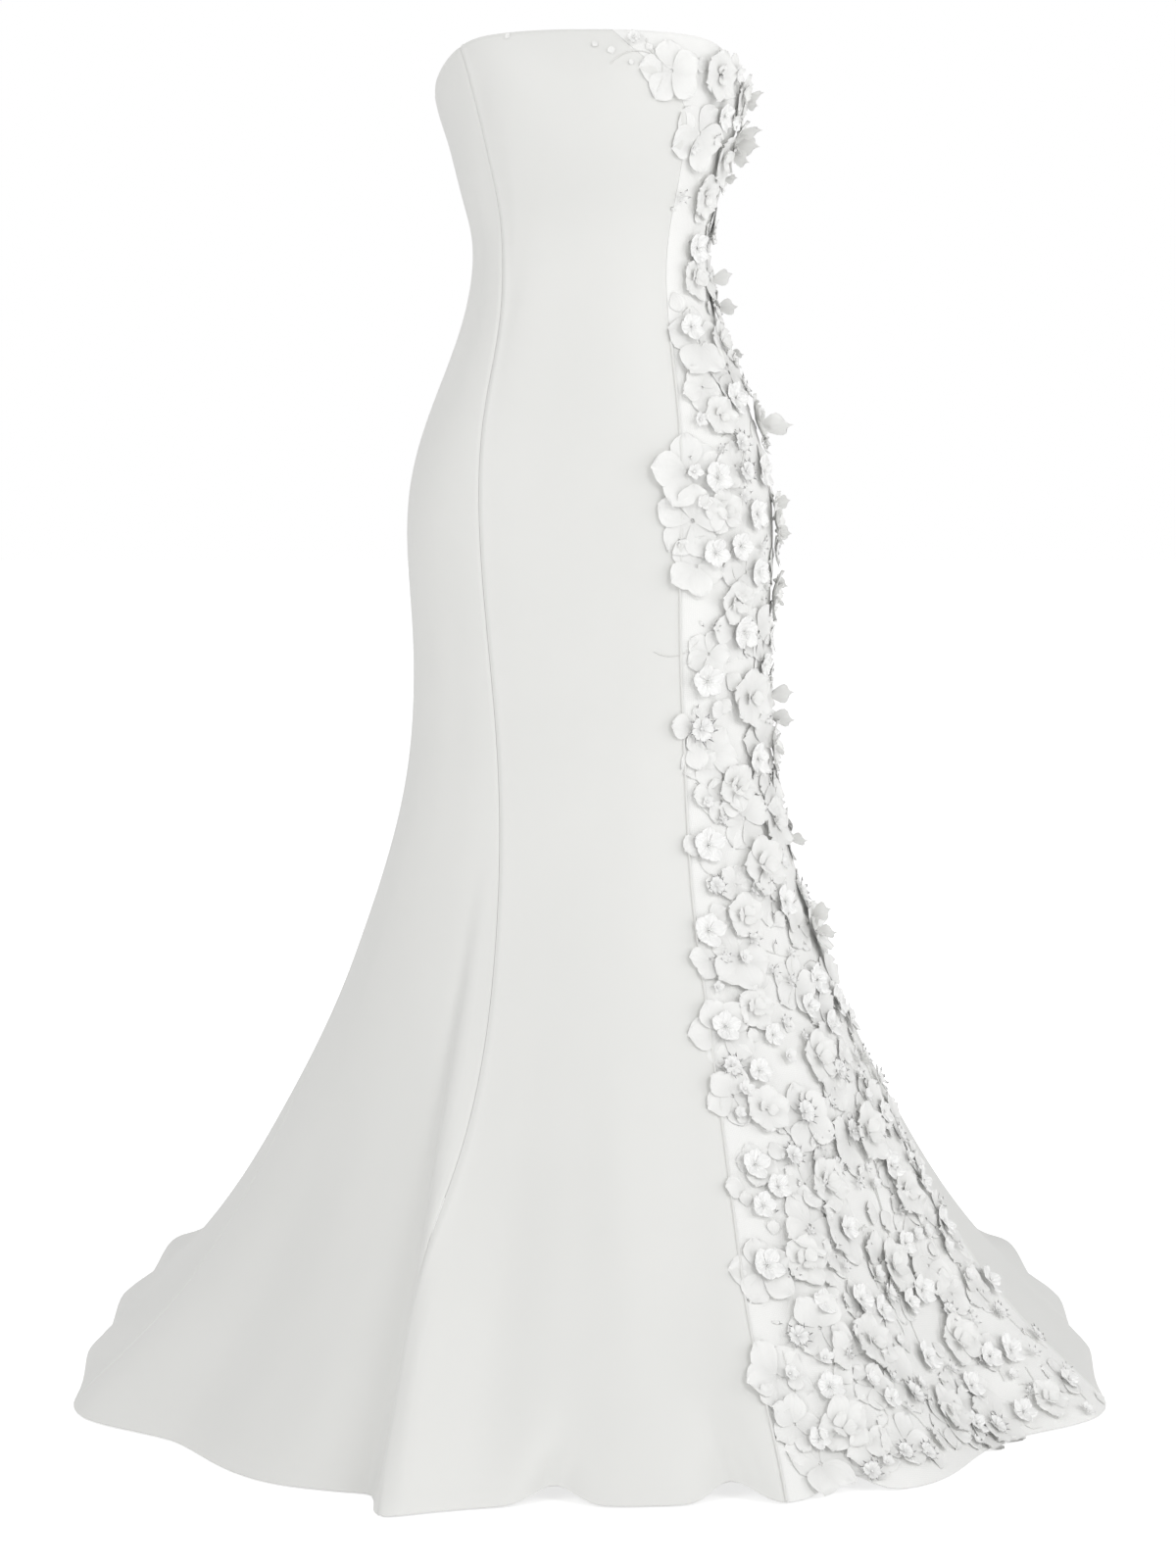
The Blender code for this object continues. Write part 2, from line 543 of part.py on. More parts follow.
def build_pull(axis):
    """A tab that hangs from a bar through the slider's eye; its origin is on the bar's axis."""
    slot_half, slot_length = PULL_SLOT[0] / 2.0, PULL_SLOT[1]
    half_bar = PULL_BAR / 2.0
    half_thick = PULL_THICKNESS / 2.0
    outer_half = slot_half + PULL_ARM
    bar = ((-outer_half, -half_bar, -half_bar), (outer_half, half_bar, half_bar))
    arm_low = -slot_length - PULL_ARM
    arms = [
        ((inside - PULL_ARM, -half_thick, arm_low), (inside, half_thick, 0.0))
        for inside in (-slot_half, slot_half + PULL_ARM)
    ]
    solids = [(box_points(*box), BOX_FACES) for box in (bar, *arms)]
    outline = [(-outer_half, -slot_length), (outer_half, -slot_length)]
    middle = -PULL_LENGTH + PULL_WIDTH / 2.0
    for degrees in range(0, 181, PULL_END_STEP):
        turn = math.radians(degrees)
        outline.append((PULL_WIDTH / 2.0 * math.cos(turn), middle - PULL_WIDTH / 2.0 * math.sin(turn)))
    count = len(outline)
    vertices = [(x, y, z) for y in (-half_thick, half_thick) for x, z in outline]
    faces = [tuple(range(count)), tuple(range(2 * count - 1, count - 1, -1))]
    faces += [(k, count + k, count + (k + 1) % count, (k + 1) % count) for k in range(count)]
    solids.append((vertices, faces))
    pull = join_solids("zip_pull", solids, *ZIP_ENAMEL)
    pull.location = axis


def main():
    for thing in list(bpy.data.objects):
        bpy.data.objects.remove(thing)
    build_panels(seam_angles())
    build_zip_tapes()
    axis = eye_axis()
    build_slider(axis)
    build_pull(axis)


main()
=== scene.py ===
import json
import math
import random

import bpy
import numpy as np
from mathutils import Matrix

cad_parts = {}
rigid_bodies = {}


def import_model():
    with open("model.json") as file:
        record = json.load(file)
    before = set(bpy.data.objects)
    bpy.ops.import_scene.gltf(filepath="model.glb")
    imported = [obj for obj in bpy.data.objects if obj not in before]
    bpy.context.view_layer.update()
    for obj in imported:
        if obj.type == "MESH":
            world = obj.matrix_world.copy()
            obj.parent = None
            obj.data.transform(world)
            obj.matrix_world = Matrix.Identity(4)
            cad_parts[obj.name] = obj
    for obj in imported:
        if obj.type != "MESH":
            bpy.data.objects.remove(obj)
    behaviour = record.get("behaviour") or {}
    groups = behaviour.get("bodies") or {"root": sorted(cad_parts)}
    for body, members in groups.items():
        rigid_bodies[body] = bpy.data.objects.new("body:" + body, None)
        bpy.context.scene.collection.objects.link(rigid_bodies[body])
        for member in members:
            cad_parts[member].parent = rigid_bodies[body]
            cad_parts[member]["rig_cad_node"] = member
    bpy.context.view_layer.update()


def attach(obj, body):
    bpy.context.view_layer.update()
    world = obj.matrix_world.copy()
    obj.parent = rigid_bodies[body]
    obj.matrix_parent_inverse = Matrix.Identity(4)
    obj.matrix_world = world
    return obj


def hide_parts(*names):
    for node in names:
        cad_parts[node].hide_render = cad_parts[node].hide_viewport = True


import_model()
chance = random.Random(29)
print("frame loaded")

# the gown's surface: one row a ring, from the neckline down to the hem

waistHeight = 1.12
ringColumns = (
    "zFront", "zSide", "zBack", "rise", "halfWidth", "yFront", "ySide", "yBack",
    "squareFront", "squareBack", "frontSeam", "floralEdge", "backSeam",
)
rings = (
    (1.120, 1.120, 1.120, 1.00, 0.1490, -0.118, 0.000, 0.098, 0.030, 0.02, 0.1230, 0.020, 0.072),
    (1.120, 1.120, 1.120, 0.91, 0.1465, -0.124, 0.000, 0.097, 0.030, 0.02, 0.1180, 0.040, 0.070),
    (1.120, 1.120, 1.120, 0.81, 0.1415, -0.129, 0.000, 0.095, 0.028, 0.02, 0.1130, 0.068, 0.068),
    (1.120, 1.120, 1.120, 0.70, 0.1360, -0.132, 0.000, 0.093, 0.025, 0.02, 0.1080, 0.088, 0.065),
    (1.120, 1.120, 1.120, 0.58, 0.1312, -0.131, 0.000, 0.091, 0.022, 0.02, 0.1025, 0.092, 0.063),
    (1.120, 1.120, 1.120, 0.44, 0.1260, -0.124, 0.000, 0.089, 0.020, 0.02, 0.0970, 0.087, 0.060),
    (1.120, 1.120, 1.120, 0.28, 0.1195, -0.111, 0.000, 0.086, 0.018, 0.02, 0.0890, 0.082, 0.057),
    (1.120, 1.120, 1.120, 0.12, 0.1125, -0.099, 0.000, 0.083, 0.016, 0.02, 0.0840, 0.075, 0.055),
    (1.105, 1.105, 1.105, 0.00, 0.1118, -0.094, 0.000, 0.082, 0.015, 0.02, 0.0828, 0.071, 0.055),
    (1.060, 1.060, 1.060, 0.00, 0.1200, -0.098, 0.000, 0.088, 0.012, 0.02, 0.0840, 0.073, 0.060),
    (1.010, 1.010, 1.010, 0.00, 0.1380, -0.106, 0.000, 0.100, 0.010, 0.02, 0.0930, 0.079, 0.067),
    (0.955, 0.955, 0.955, 0.00, 0.1605, -0.112, 0.000, 0.113, 0.008, 0.02, 0.1030, 0.085, 0.073),
    (0.895, 0.895, 0.895, 0.00, 0.1765, -0.117, 0.000, 0.123, 0.006, 0.02, 0.1060, 0.0865, 0.077),
    (0.830, 0.830, 0.830, 0.00, 0.1770, -0.120, 0.000, 0.126, 0.005, 0.01, 0.1035, 0.085, 0.078),
    (0.760, 0.760, 0.760, 0.00, 0.1705, -0.122, 0.000, 0.122, 0.004, 0.00, 0.0975, 0.0845, 0.078),
    (0.690, 0.690, 0.690, 0.00, 0.1700, -0.125, 0.000, 0.118, 0.002, 0.00, 0.0905, 0.087, 0.078),
    (0.620, 0.620, 0.620, 0.00, 0.1760, -0.130, 0.002, 0.121, 0.000, 0.00, 0.0858, 0.090, 0.080),
    (0.555, 0.555, 0.550, 0.00, 0.1910, -0.140, 0.006, 0.138, 0.000, 0.00, 0.0850, 0.093, 0.084),
    (0.500, 0.500, 0.480, 0.00, 0.2085, -0.156, 0.013, 0.175, 0.000, 0.00, 0.0865, 0.097, 0.091),
    (0.445, 0.445, 0.410, 0.00, 0.2280, -0.177, 0.025, 0.228, 0.000, 0.00, 0.0895, 0.105, 0.101),
    (0.390, 0.390, 0.340, 0.00, 0.2500, -0.200, 0.040, 0.293, 0.002, 0.005, 0.0945, 0.112, 0.114),
    (0.335, 0.335, 0.275, 0.00, 0.2765, -0.226, 0.060, 0.370, 0.004, 0.01, 0.1030, 0.119, 0.130),
    (0.280, 0.280, 0.215, 0.00, 0.3060, -0.254, 0.085, 0.458, 0.006, 0.01, 0.1150, 0.125, 0.148),
    (0.225, 0.225, 0.160, 0.00, 0.3370, -0.284, 0.115, 0.560, 0.008, 0.015, 0.1310, 0.131, 0.168),
    (0.170, 0.172, 0.110, 0.00, 0.3715, -0.316, 0.150, 0.680, 0.010, 0.02, 0.1480, 0.137, 0.190),
    (0.115, 0.120, 0.068, 0.00, 0.4115, -0.349, 0.190, 0.820, 0.012, 0.03, 0.1590, 0.146, 0.213),
    (0.060, 0.070, 0.036, 0.00, 0.4550, -0.381, 0.235, 0.985, 0.014, 0.05, 0.1660, 0.159, 0.237),
    (0.025, 0.030, 0.012, 0.00, 0.4880, -0.400, 0.275, 1.165, 0.016, 0.065, 0.1700, 0.167, 0.260),
    (0.0025, 0.0035, 0.0030, 0.00, 0.5080, -0.412, 0.300, 1.350, 0.018, 0.08, 0.1720, 0.171, 0.280),
)
lastRing = len(rings) - 1

# height of the neckline above the floor, every 15 degrees from the centre front to the centre back
neckline = (1.322, 1.322, 1.320, 1.317, 1.303, 1.287, 1.276, 1.262, 1.248, 1.236, 1.226, 1.219, 1.217)

foldColumns = ("startAngle", "hemAngle", "out", "lift", "widthBefore", "widthAfter", "firstRing")
folds = (
    (-30.0, -18.4, 0.050, 0.000, 2.2, 7.0, 17.0),
    (-34.0, -24.7, -0.010, 0.000, 6.0, 3.0, 18.0),
    (-29.2, -17.6, 0.009, 0.000, 1.1, 2.0, 16.5),
    (-32.8, -21.0, -0.014, 0.000, 2.4, 1.5, 16.5),
    (24.0, 17.5, 0.012, 0.000, 4.0, 3.0, 19.0),
    (34.0, 34.0, 0.012, 0.000, 7.0, 8.0, 20.0),
    (-2.0, -3.4, -0.024, 0.013, 2.6, 2.6, 25.0),
    (13.0, 13.7, -0.024, 0.015, 2.6, 2.6, 25.0),
    (26.0, 25.5, -0.016, 0.016, 2.8, 2.8, 25.0),
    (56.0, 54.0, -0.052, 0.000, 17.0, 10.0, 20.0),
    (-56.0, -54.0, -0.050, 0.000, 10.0, 18.0, 20.0),
    (68.0, 68.0, 0.022, 0.000, 6.0, 8.0, 25.0),
    (-68.0, -68.0, 0.022, 0.000, 8.0, 6.0, 25.0),
    (86.0, 84.0, 0.006, 0.013, 5.0, 5.0, 25.0),
    (98.0, 98.0, 0.006, 0.014, 5.0, 5.0, 25.0),
    (114.0, 114.0, 0.006, 0.015, 6.0, 6.0, 25.0),
    (131.0, 131.0, 0.006, 0.017, 6.5, 6.5, 25.0),
    (150.0, 150.0, 0.006, 0.015, 6.5, 6.5, 25.0),
    (168.0, 168.0, 0.006, 0.014, 5.5, 5.5, 25.0),
    (-85.0, -83.0, 0.006, 0.014, 5.0, 5.0, 25.0),
    (-99.0, -99.0, 0.006, 0.013, 5.0, 5.0, 25.0),
    (-115.0, -115.0, 0.006, 0.015, 6.0, 6.0, 25.0),
    (-132.0, -132.0, 0.006, 0.015, 6.5, 6.5, 25.0),
    (-149.0, -149.0, 0.006, 0.017, 6.5, 6.5, 25.0),
    (-167.0, -167.0, 0.006, 0.014, 5.5, 5.5, 25.0),
)

# soft troughs and ridges, listed one by one: angle and ring at both ends, width in degrees, height
creaseColumns = ("startAngle", "startRing", "endAngle", "endRing", "width", "height")
creases = (
    (-44.0, 1.0, -52.0, 7.5, 5.0, -0.0010),
    (-34.0, 3.0, -37.0, 8.5, 4.0, 0.0008),
    (-70.0, 5.0, -62.0, 11.0, 6.0, -0.0012),
    (-30.0, 6.0, -42.0, 10.5, 5.0, -0.0008),
    (8.0, 12.0, 3.0, 20.0, 7.0, -0.0010),
    (-12.0, 13.0, -9.0, 22.0, 6.0, 0.0010),
    (-50.0, 12.0, -44.0, 19.0, 7.0, -0.0012),
    (-68.0, 15.0, -60.0, 23.0, 6.0, 0.0016),
    (-40.0, 20.0, -37.0, 27.5, 5.0, -0.0030),
    (-12.0, 19.0, -10.5, 27.9, 3.0, -0.0022),
    (4.0, 20.0, 5.0, 27.9, 4.0, 0.0026),
    (-5.0, 22.0, -6.5, 27.9, 3.0, 0.0018),
    (112.0, 9.0, 120.0, 16.0, 8.0, -0.0016),
    (-112.0, 9.0, -121.0, 16.0, 8.0, -0.0016),
    (146.0, 7.0, 138.0, 13.0, 7.0, 0.0014),
    (-146.0, 7.0, -139.0, 13.0, 7.0, 0.0014),
    (122.0, 18.0, 124.0, 27.0, 6.0, 0.0060),
    (-123.0, 18.0, -125.0, 27.0, 6.0, 0.0060),
    (158.0, 18.0, 159.0, 27.0, 5.0, -0.0060),
    (-158.0, 18.0, -159.0, 27.0, 5.0, -0.0060),
)


def bSpline(table, position):
    table = np.asarray(table, dtype=float)
    padded = np.concatenate([
        [2.0 * table[0] - table[1]], table, [2.0 * table[-1] - table[-2]], [3.0 * table[-1] - 2.0 * table[-2]],
    ])
    position = np.clip(np.asarray(position, dtype=float), 0.0, len(table) - 1.0)
    whole = np.floor(position).astype(int)
    part = (position - whole).reshape(position.shape + (1,) * (table.ndim - 1))
    return (
        (1.0 - part) ** 3 * padded[whole]
        + (3.0 * part**3 - 6.0 * part**2 + 4.0) * padded[whole + 1]
        + (-3.0 * part**3 + 3.0 * part**2 + 3.0 * part + 1.0) * padded[whole + 2]
        + part**3 * padded[whole + 3]
    ) / 6.0


def ringAt(position):
    return dict(zip(ringColumns, np.moveaxis(bSpline(rings, position), -1, 0)))


def smoothStep(value):
    value = np.clip(value, 0.0, 1.0)
    return value * value * (3.0 - 2.0 * value)


def basePoint(angle, position):
    ring = ringAt(position)
    sine, cosine = np.sin(angle), np.cos(angle)
    front, back = (1.0 + cosine) / 2.0, (1.0 - cosine) / 2.0
    square = ring["squareFront"] * front + ring["squareBack"] * back
    x = ring["halfWidth"] * (sine + square * np.sin(3.0 * angle)) / (1.0 - square)
    depth = (ring["ySide"] - ring["yFront"]) * front + (ring["yBack"] - ring["ySide"]) * back
    y = ring["ySide"] - depth * (cosine - square * np.cos(3.0 * angle)) / (1.0 - square)
    level = ring["zSide"] * sine**2 + (ring["zFront"] * front + ring["zBack"] * back) * cosine**2
    top = bSpline(neckline, np.degrees(np.abs(angle)) / 15.0)
    z = level + ring["rise"] * (top - waistHeight) - waistHeight
    return np.stack([x, y, z], axis=-1)


def foldAmounts(angle, position):
    out = np.zeros(np.broadcast(angle, position).shape)
    lift = np.zeros_like(out)
    degrees = np.degrees(angle)
    for row in folds:
        fold = dict(zip(foldColumns, row))
        share = smoothStep((position - fold["firstRing"]) / (lastRing - fold["firstRing"]))
        away = degrees - fold["startAngle"] - (fold["hemAngle"] - fold["startAngle"]) * share
        width = np.where(away < 0.0, fold["widthBefore"], fold["widthAfter"])
        shape = share * np.exp(-((away / width) ** 2))
        out = out + fold["out"] * shape
        lift = lift + fold["lift"] * shape
    return out, lift


def creaseAmounts(angle, position):
    out = np.zeros(np.broadcast(angle, position).shape)
    degrees = np.degrees(angle)
    for row in creases:
        crease = dict(zip(creaseColumns, row))
        share = (position - crease["startRing"]) / (crease["endRing"] - crease["startRing"])
        away = degrees - crease["startAngle"] - (crease["endAngle"] - crease["startAngle"]) * share
        fade = np.sin(math.pi * np.clip(share, 0.0, 1.0))
        out = out + crease["height"] * fade * np.exp(-((away / crease["width"]) ** 2))
    return out


def surfacePoint(angle, position):
    point = basePoint(angle, position)
    along = (basePoint(angle + 1e-4, position) - basePoint(angle - 1e-4, position))[..., :2]
    along = along / np.linalg.norm(along, axis=-1, keepdims=True)
    out, lift = foldAmounts(angle, position)
    point[..., 0] += along[..., 1] * out
    point[..., 1] -= along[..., 0] * out
    point[..., 2] += lift
    return point


def surfaceSteps(angle, position):
    # how the surface moves for a step round the gown and for a step down it
    above = np.clip(position - 1e-3, 0.0, lastRing)
    below = np.clip(position + 1e-3, 0.0, lastRing)
    across = (surfacePoint(angle + 1e-4, position) - surfacePoint(angle - 1e-4, position)) / 2e-4
    down = (surfacePoint(angle, below) - surfacePoint(angle, above)) / (below - above)[..., None]
    return across, down


def surfaceNormal(angle, position):
    across, down = surfaceSteps(angle, position)
    normal = np.cross(down, across)
    return normal / np.linalg.norm(normal, axis=-1, keepdims=True)


sampleAngles = np.radians(np.linspace(0.0, 180.0, 721))


def seamAngle(seam, position):
    # the angle of a seam at any height; right is the wearer's right, where angles are negative
    if seam == "centreBackLeft":
        return np.full(len(position), math.pi)
    if seam == "centreBackRight":
        return np.full(len(position), -math.pi)
    places = basePoint(sampleAngles[None, :], np.asarray(position, dtype=float)[:, None])
    ring = ringAt(position)
    found = []
    for row, line in enumerate(places):
        if seam.startswith("side"):
            found.append(np.interp(0.010, line[:, 1], sampleAngles))
        elif seam.startswith("back"):
            found.append(np.interp(ring["backSeam"][row], line[:360:-1, 0], sampleAngles[:360:-1]))
        else:
            wanted = ring["floralEdge" if seam == "floralEdge" else "frontSeam"][row]
            found.append(np.interp(wanted, line[:361, 0], sampleAngles[:361]))
    return np.array(found) * (-1.0 if seam.endswith("Right") else 1.0)


# small helpers for modelling


def clearSelection():
    if bpy.context.object and bpy.context.object.mode != "OBJECT":
        bpy.ops.object.mode_set(mode="OBJECT")
    bpy.ops.object.select_all(action="DESELECT")


def pick(*pieces):
    clearSelection()
    for piece in pieces:
        piece.select_set(True)
    bpy.context.view_layer.objects.active = pieces[0]


def applyModifier(piece, kind, **values):
    pick(piece)
    modifier = piece.modifiers.new(kind.lower(), kind)
    for key, value in values.items():
        setattr(modifier, key, value)
    bpy.ops.object.modifier_apply(modifier=modifier.name)


def smoothShade(piece, degrees):
    pick(piece)
    bpy.ops.object.shade_smooth_by_angle(angle=math.radians(degrees))


def joinPieces(name, pieces):
    pick(*pieces)
    if len(pieces) > 1:
        bpy.ops.object.join()
    pieces[0].name = name
    pieces[0].data.name = name
    return pieces[0]


def readPlaces(piece):
    places = np.empty(len(piece.data.vertices) * 3)
    piece.data.vertices.foreach_get("co", places)
    return places.reshape(-1, 3)


def writePlaces(piece, places):
    piece.data.vertices.foreach_set("co", np.ascontiguousarray(places, dtype=np.float32).ravel())
    piece.data.update()


def writeClothMap(piece, flat):
    # the piece's own UV map, here in metres along the cloth
    corners = np.empty(len(piece.data.loops), dtype=np.int32)
    piece.data.loops.foreach_get("vertex_index", corners)
    piece.data.uv_layers[0].uv.foreach_set("vector", flat[corners].astype(np.float32).ravel())


def addGrid(name, columns, rows):
    # a flat grid with each point's column from the left and row from the top
    clearSelection()
    bpy.ops.mesh.primitive_grid_add(x_subdivisions=columns, y_subdivisions=rows, size=1.0)
    grid = bpy.context.object
    grid.name = name
    grid.data.name = name
    places = readPlaces(grid)
    column = np.rint((places[:, 0] + 0.5) * columns).astype(int)
    row = np.rint((0.5 - places[:, 1]) * rows).astype(int)
    return grid, column, row


def tubeAlong(name, lines, radius, sides):
    # round cords along lists of points, closed at both ends
    curve = bpy.data.curves.new(name, "CURVE")
    curve.dimensions = "3D"
    curve.bevel_depth = radius
    curve.bevel_resolution = max(0, sides // 2 - 2)
    curve.use_fill_caps = True
    for line in lines:
        spline = curve.splines.new("POLY")
        spline.points.add(len(line) - 1)
        spline.points.foreach_set("co", np.column_stack([line, np.ones(len(line))]).ravel())
    tube = bpy.data.objects.new(name, curve)
    bpy.context.scene.collection.objects.link(tube)
    pick(tube)
    bpy.ops.object.convert(target="MESH")
    return bpy.context.object


# finishes


def newGroup(name, inputs, outputs):
    group = bpy.data.node_groups.new(name, "ShaderNodeTree")
    for label, kind, value in inputs:
        socket = group.interface.new_socket(name=label, in_out="INPUT", socket_type=kind)
        if value is not None:
            socket.default_value = value
    for label, kind in outputs:
        group.interface.new_socket(name=label, in_out="OUTPUT", socket_type=kind)
    return group, group.nodes.new("NodeGroupInput"), group.nodes.new("NodeGroupOutput")


def addNode(tree, kind, settings=None, **values):
    node = tree.nodes.new(kind)
    for key, value in (settings or {}).items():
        setattr(node, key, value)
    for key, value in values.items():
        node.inputs[int(key[1:]) if key[1:].isdigit() else key].default_value = value
    return node


def join(tree, source, target, out=0, into=0):
    tree.links.new(source.outputs[out], target.inputs[into])


def makeCrepeGroup():
    # crossing threads with an uneven crepe twist, and a slow drift of tone over the cloth
    group, source, result = newGroup(
        "crepe weave",
        [("Coordinate", "NodeSocketVector", None), ("Threads Per Metre", "NodeSocketFloat", 2600.0),
         ("Pebble Scale", "NodeSocketFloat", 1400.0), ("Drift Scale", "NodeSocketFloat", 7.0)],
        [("Height", "NodeSocketFloat"), ("Drift", "NodeSocketFloat")],
    )
    stretched = addNode(group, "ShaderNodeVectorMath", {"operation": "SCALE"})
    join(group, source, stretched, "Coordinate", 0)
    join(group, source, stretched, "Threads Per Metre", "Scale")
    split = addNode(group, "ShaderNodeSeparateXYZ")
    join(group, stretched, split)
    warp = addNode(group, "ShaderNodeMath", {"operation": "SINE"})
    weft = addNode(group, "ShaderNodeMath", {"operation": "SINE"})
    join(group, split, warp, 0)
    join(group, split, weft, 1)
    crossing = addNode(group, "ShaderNodeMath", {"operation": "MULTIPLY"})
    join(group, warp, crossing)
    join(group, weft, crossing, 0, 1)
    pebble = addNode(group, "ShaderNodeTexNoise", {"noise_dimensions": "2D"}, Detail=2.0)
    join(group, source, pebble, "Coordinate", "Vector")
    join(group, source, pebble, "Pebble Scale", "Scale")
    height = addNode(group, "ShaderNodeMath", {"operation": "MULTIPLY_ADD"}, i1=0.35)
    join(group, crossing, height)
    join(group, pebble, height, 0, 2)
    drift = addNode(group, "ShaderNodeTexNoise", {"noise_dimensions": "2D"}, Detail=3.0)
    join(group, source, drift, "Coordinate", "Vector")
    join(group, source, drift, "Drift Scale", "Scale")
    join(group, height, result, 0, "Height")
    join(group, drift, result, 0, "Drift")
    return group


def makeNetGroup():
    # the fine six-sided net of tulle, 1 on a thread and 0 in a hole
    group, source, result = newGroup(
        "tulle net",
        [("Coordinate", "NodeSocketVector", None), ("Holes Per Metre", "NodeSocketFloat", 520.0),
         ("Thread Width", "NodeSocketFloat", 0.16)],
        [("Thread", "NodeSocketFloat")],
    )
    cells = addNode(
        group, "ShaderNodeTexVoronoi", {"voronoi_dimensions": "2D", "feature": "DISTANCE_TO_EDGE"}, Randomness=0.35
    )
    join(group, source, cells, "Coordinate", "Vector")
    join(group, source, cells, "Holes Per Metre", "Scale")
    ratio = addNode(group, "ShaderNodeMath", {"operation": "DIVIDE"})
    join(group, cells, ratio, "Distance", 0)
    join(group, source, ratio, "Thread Width", 1)
    thread = addNode(group, "ShaderNodeMath", {"operation": "SUBTRACT", "use_clamp": True}, i0=1.0)
    join(group, ratio, thread, 0, 1)
    join(group, thread, result, 0, "Thread")
    return group


def newMaterial(name, roughness, specular, sheen):
    material = bpy.data.materials.new(name)
    material.use_nodes = True
    tree = material.node_tree
    shader = tree.nodes["Principled BSDF"]
    shader.inputs["Roughness"].default_value = roughness
    shader.inputs["Specular IOR Level"].default_value = specular
    shader.inputs["Sheen Weight"].default_value = sheen
    shader.inputs["Sheen Roughness"].default_value = 0.45
    return material, tree, shader


def mixColours(tree, factor, first, second, out=0):
    mix = addNode(tree, "ShaderNodeMix", {"data_type": "RGBA"})
    mix.inputs[6].default_value = (*first, 1.0)
    mix.inputs[7].default_value = (*second, 1.0)
    join(tree, factor, mix, out, 0)
    return mix


def addBump(tree, shader, height, out, strength, distance):
    bump = addNode(tree, "ShaderNodeBump", Strength=strength, Distance=distance)
    join(tree, height, bump, out, "Height")
    join(tree, bump, shader, 0, "Normal")
    return bump


def placeGroup(tree, group, coordinate, out, values):
    node = tree.nodes.new("ShaderNodeGroup")
    node.node_tree = group
    for key, value in values.items():
        node.inputs[key].default_value = value
    join(tree, coordinate, node, out, "Coordinate")
    return node


clothFinish = {
    "light": (0.800, 0.800, 0.780),
    "dark": (0.770, 0.772, 0.752),
    "roughness": (0.44, 0.52),
    "threads": 3600.0,
    "bump": 0.10,
}


def makeSatin(name, crepe, light, dark, threads, bump):
    material, tree, shader = newMaterial(name, 0.48, 0.35, 0.12)
    place = addNode(tree, "ShaderNodeUVMap")
    weave = placeGroup(tree, crepe, place, "UV", {"Threads Per Metre": threads})
    join(tree, mixColours(tree, weave, dark, light, "Drift"), shader, 2, "Base Color")
    rough = addNode(tree, "ShaderNodeMapRange", i3=clothFinish["roughness"][0], i4=clothFinish["roughness"][1])
    join(tree, weave, rough, "Drift", 0)
    join(tree, rough, shader, 0, "Roughness")
    addBump(tree, shader, weave, "Height", bump, 0.0002)
    return material


def makeTulle(crepe, net):
    # satin seen through a layer of net
    material, tree, shader = newMaterial("floral tulle", 0.55, 0.30, 0.15)
    place = addNode(tree, "ShaderNodeUVMap")
    weave = placeGroup(tree, crepe, place, "UV", {"Threads Per Metre": 3600.0, "Drift Scale": 24.0})
    layer = placeGroup(tree, net, place, "UV", {})
    under = mixColours(tree, weave, (0.86, 0.86, 0.845), (0.92, 0.92, 0.905), "Drift")
    over = addNode(tree, "ShaderNodeMix", {"data_type": "RGBA"})
    over.inputs[7].default_value = (0.95, 0.95, 0.935, 1.0)
    join(tree, layer, over, "Thread", 0)
    join(tree, under, over, 2, 6)
    join(tree, over, shader, 2, "Base Color")
    addBump(tree, shader, layer, "Thread", 0.35, 0.0003)
    return material


def makePetalFinish(name, light, dark, veins, roughness, sheen, bump, clear):
    # thin organza petals: fine veins from the root, and painted shade that makes each petal darker towards its
    # root
    material, tree, shader = newMaterial(name, roughness, 0.40, sheen)
    place = addNode(tree, "ShaderNodeUVMap")
    split = addNode(tree, "ShaderNodeSeparateXYZ")
    join(tree, place, split, "UV")
    veinWave = addNode(tree, "ShaderNodeMath", {"operation": "MULTIPLY"}, i1=veins)
    join(tree, split, veinWave, 0)
    sine = addNode(tree, "ShaderNodeMath", {"operation": "SINE"})
    join(tree, veinWave, sine)
    # painted shade: the colour darkens from the petal's tip towards its root, where overlapping petals shade each
    # other
    rootPaintedShade = addNode(tree, "ShaderNodeMapRange", {"interpolation_type": "SMOOTHSTEP"}, i1=0.0, i2=0.55)
    join(tree, split, rootPaintedShade, 1, 0)
    join(tree, mixColours(tree, rootPaintedShade, dark, light), shader, 2, "Base Color")
    if clear:
        seen = addNode(tree, "ShaderNodeMapRange", i3=clear[0], i4=clear[1])
        join(tree, split, seen, 1, 0)
        join(tree, seen, shader, 0, "Alpha")
    crinkle = addNode(tree, "ShaderNodeTexNoise", Scale=420.0, Detail=2.0)
    body = addNode(tree, "ShaderNodeTexCoord")
    join(tree, body, crinkle, "Object", "Vector")
    height = addNode(tree, "ShaderNodeMath", {"operation": "MULTIPLY_ADD"}, i1=0.4)
    join(tree, sine, height)
    join(tree, crinkle, height, 0, 2)
    addBump(tree, shader, height, 0, bump, 0.0004)
    return material


def makeThreadFinish():
    # twisted embroidery thread
    material, tree, shader = newMaterial("embroidery thread", 0.45, 0.4, 0.2)
    body = addNode(tree, "ShaderNodeTexCoord")
    twist = addNode(tree, "ShaderNodeTexNoise", Scale=900.0, Detail=1.0)
    join(tree, body, twist, "Object", "Vector")
    join(tree, mixColours(tree, twist, (0.72, 0.72, 0.70), (0.88, 0.88, 0.86)), shader, 2, "Base Color")
    addBump(tree, shader, twist, 0, 0.6, 0.0003)
    return material


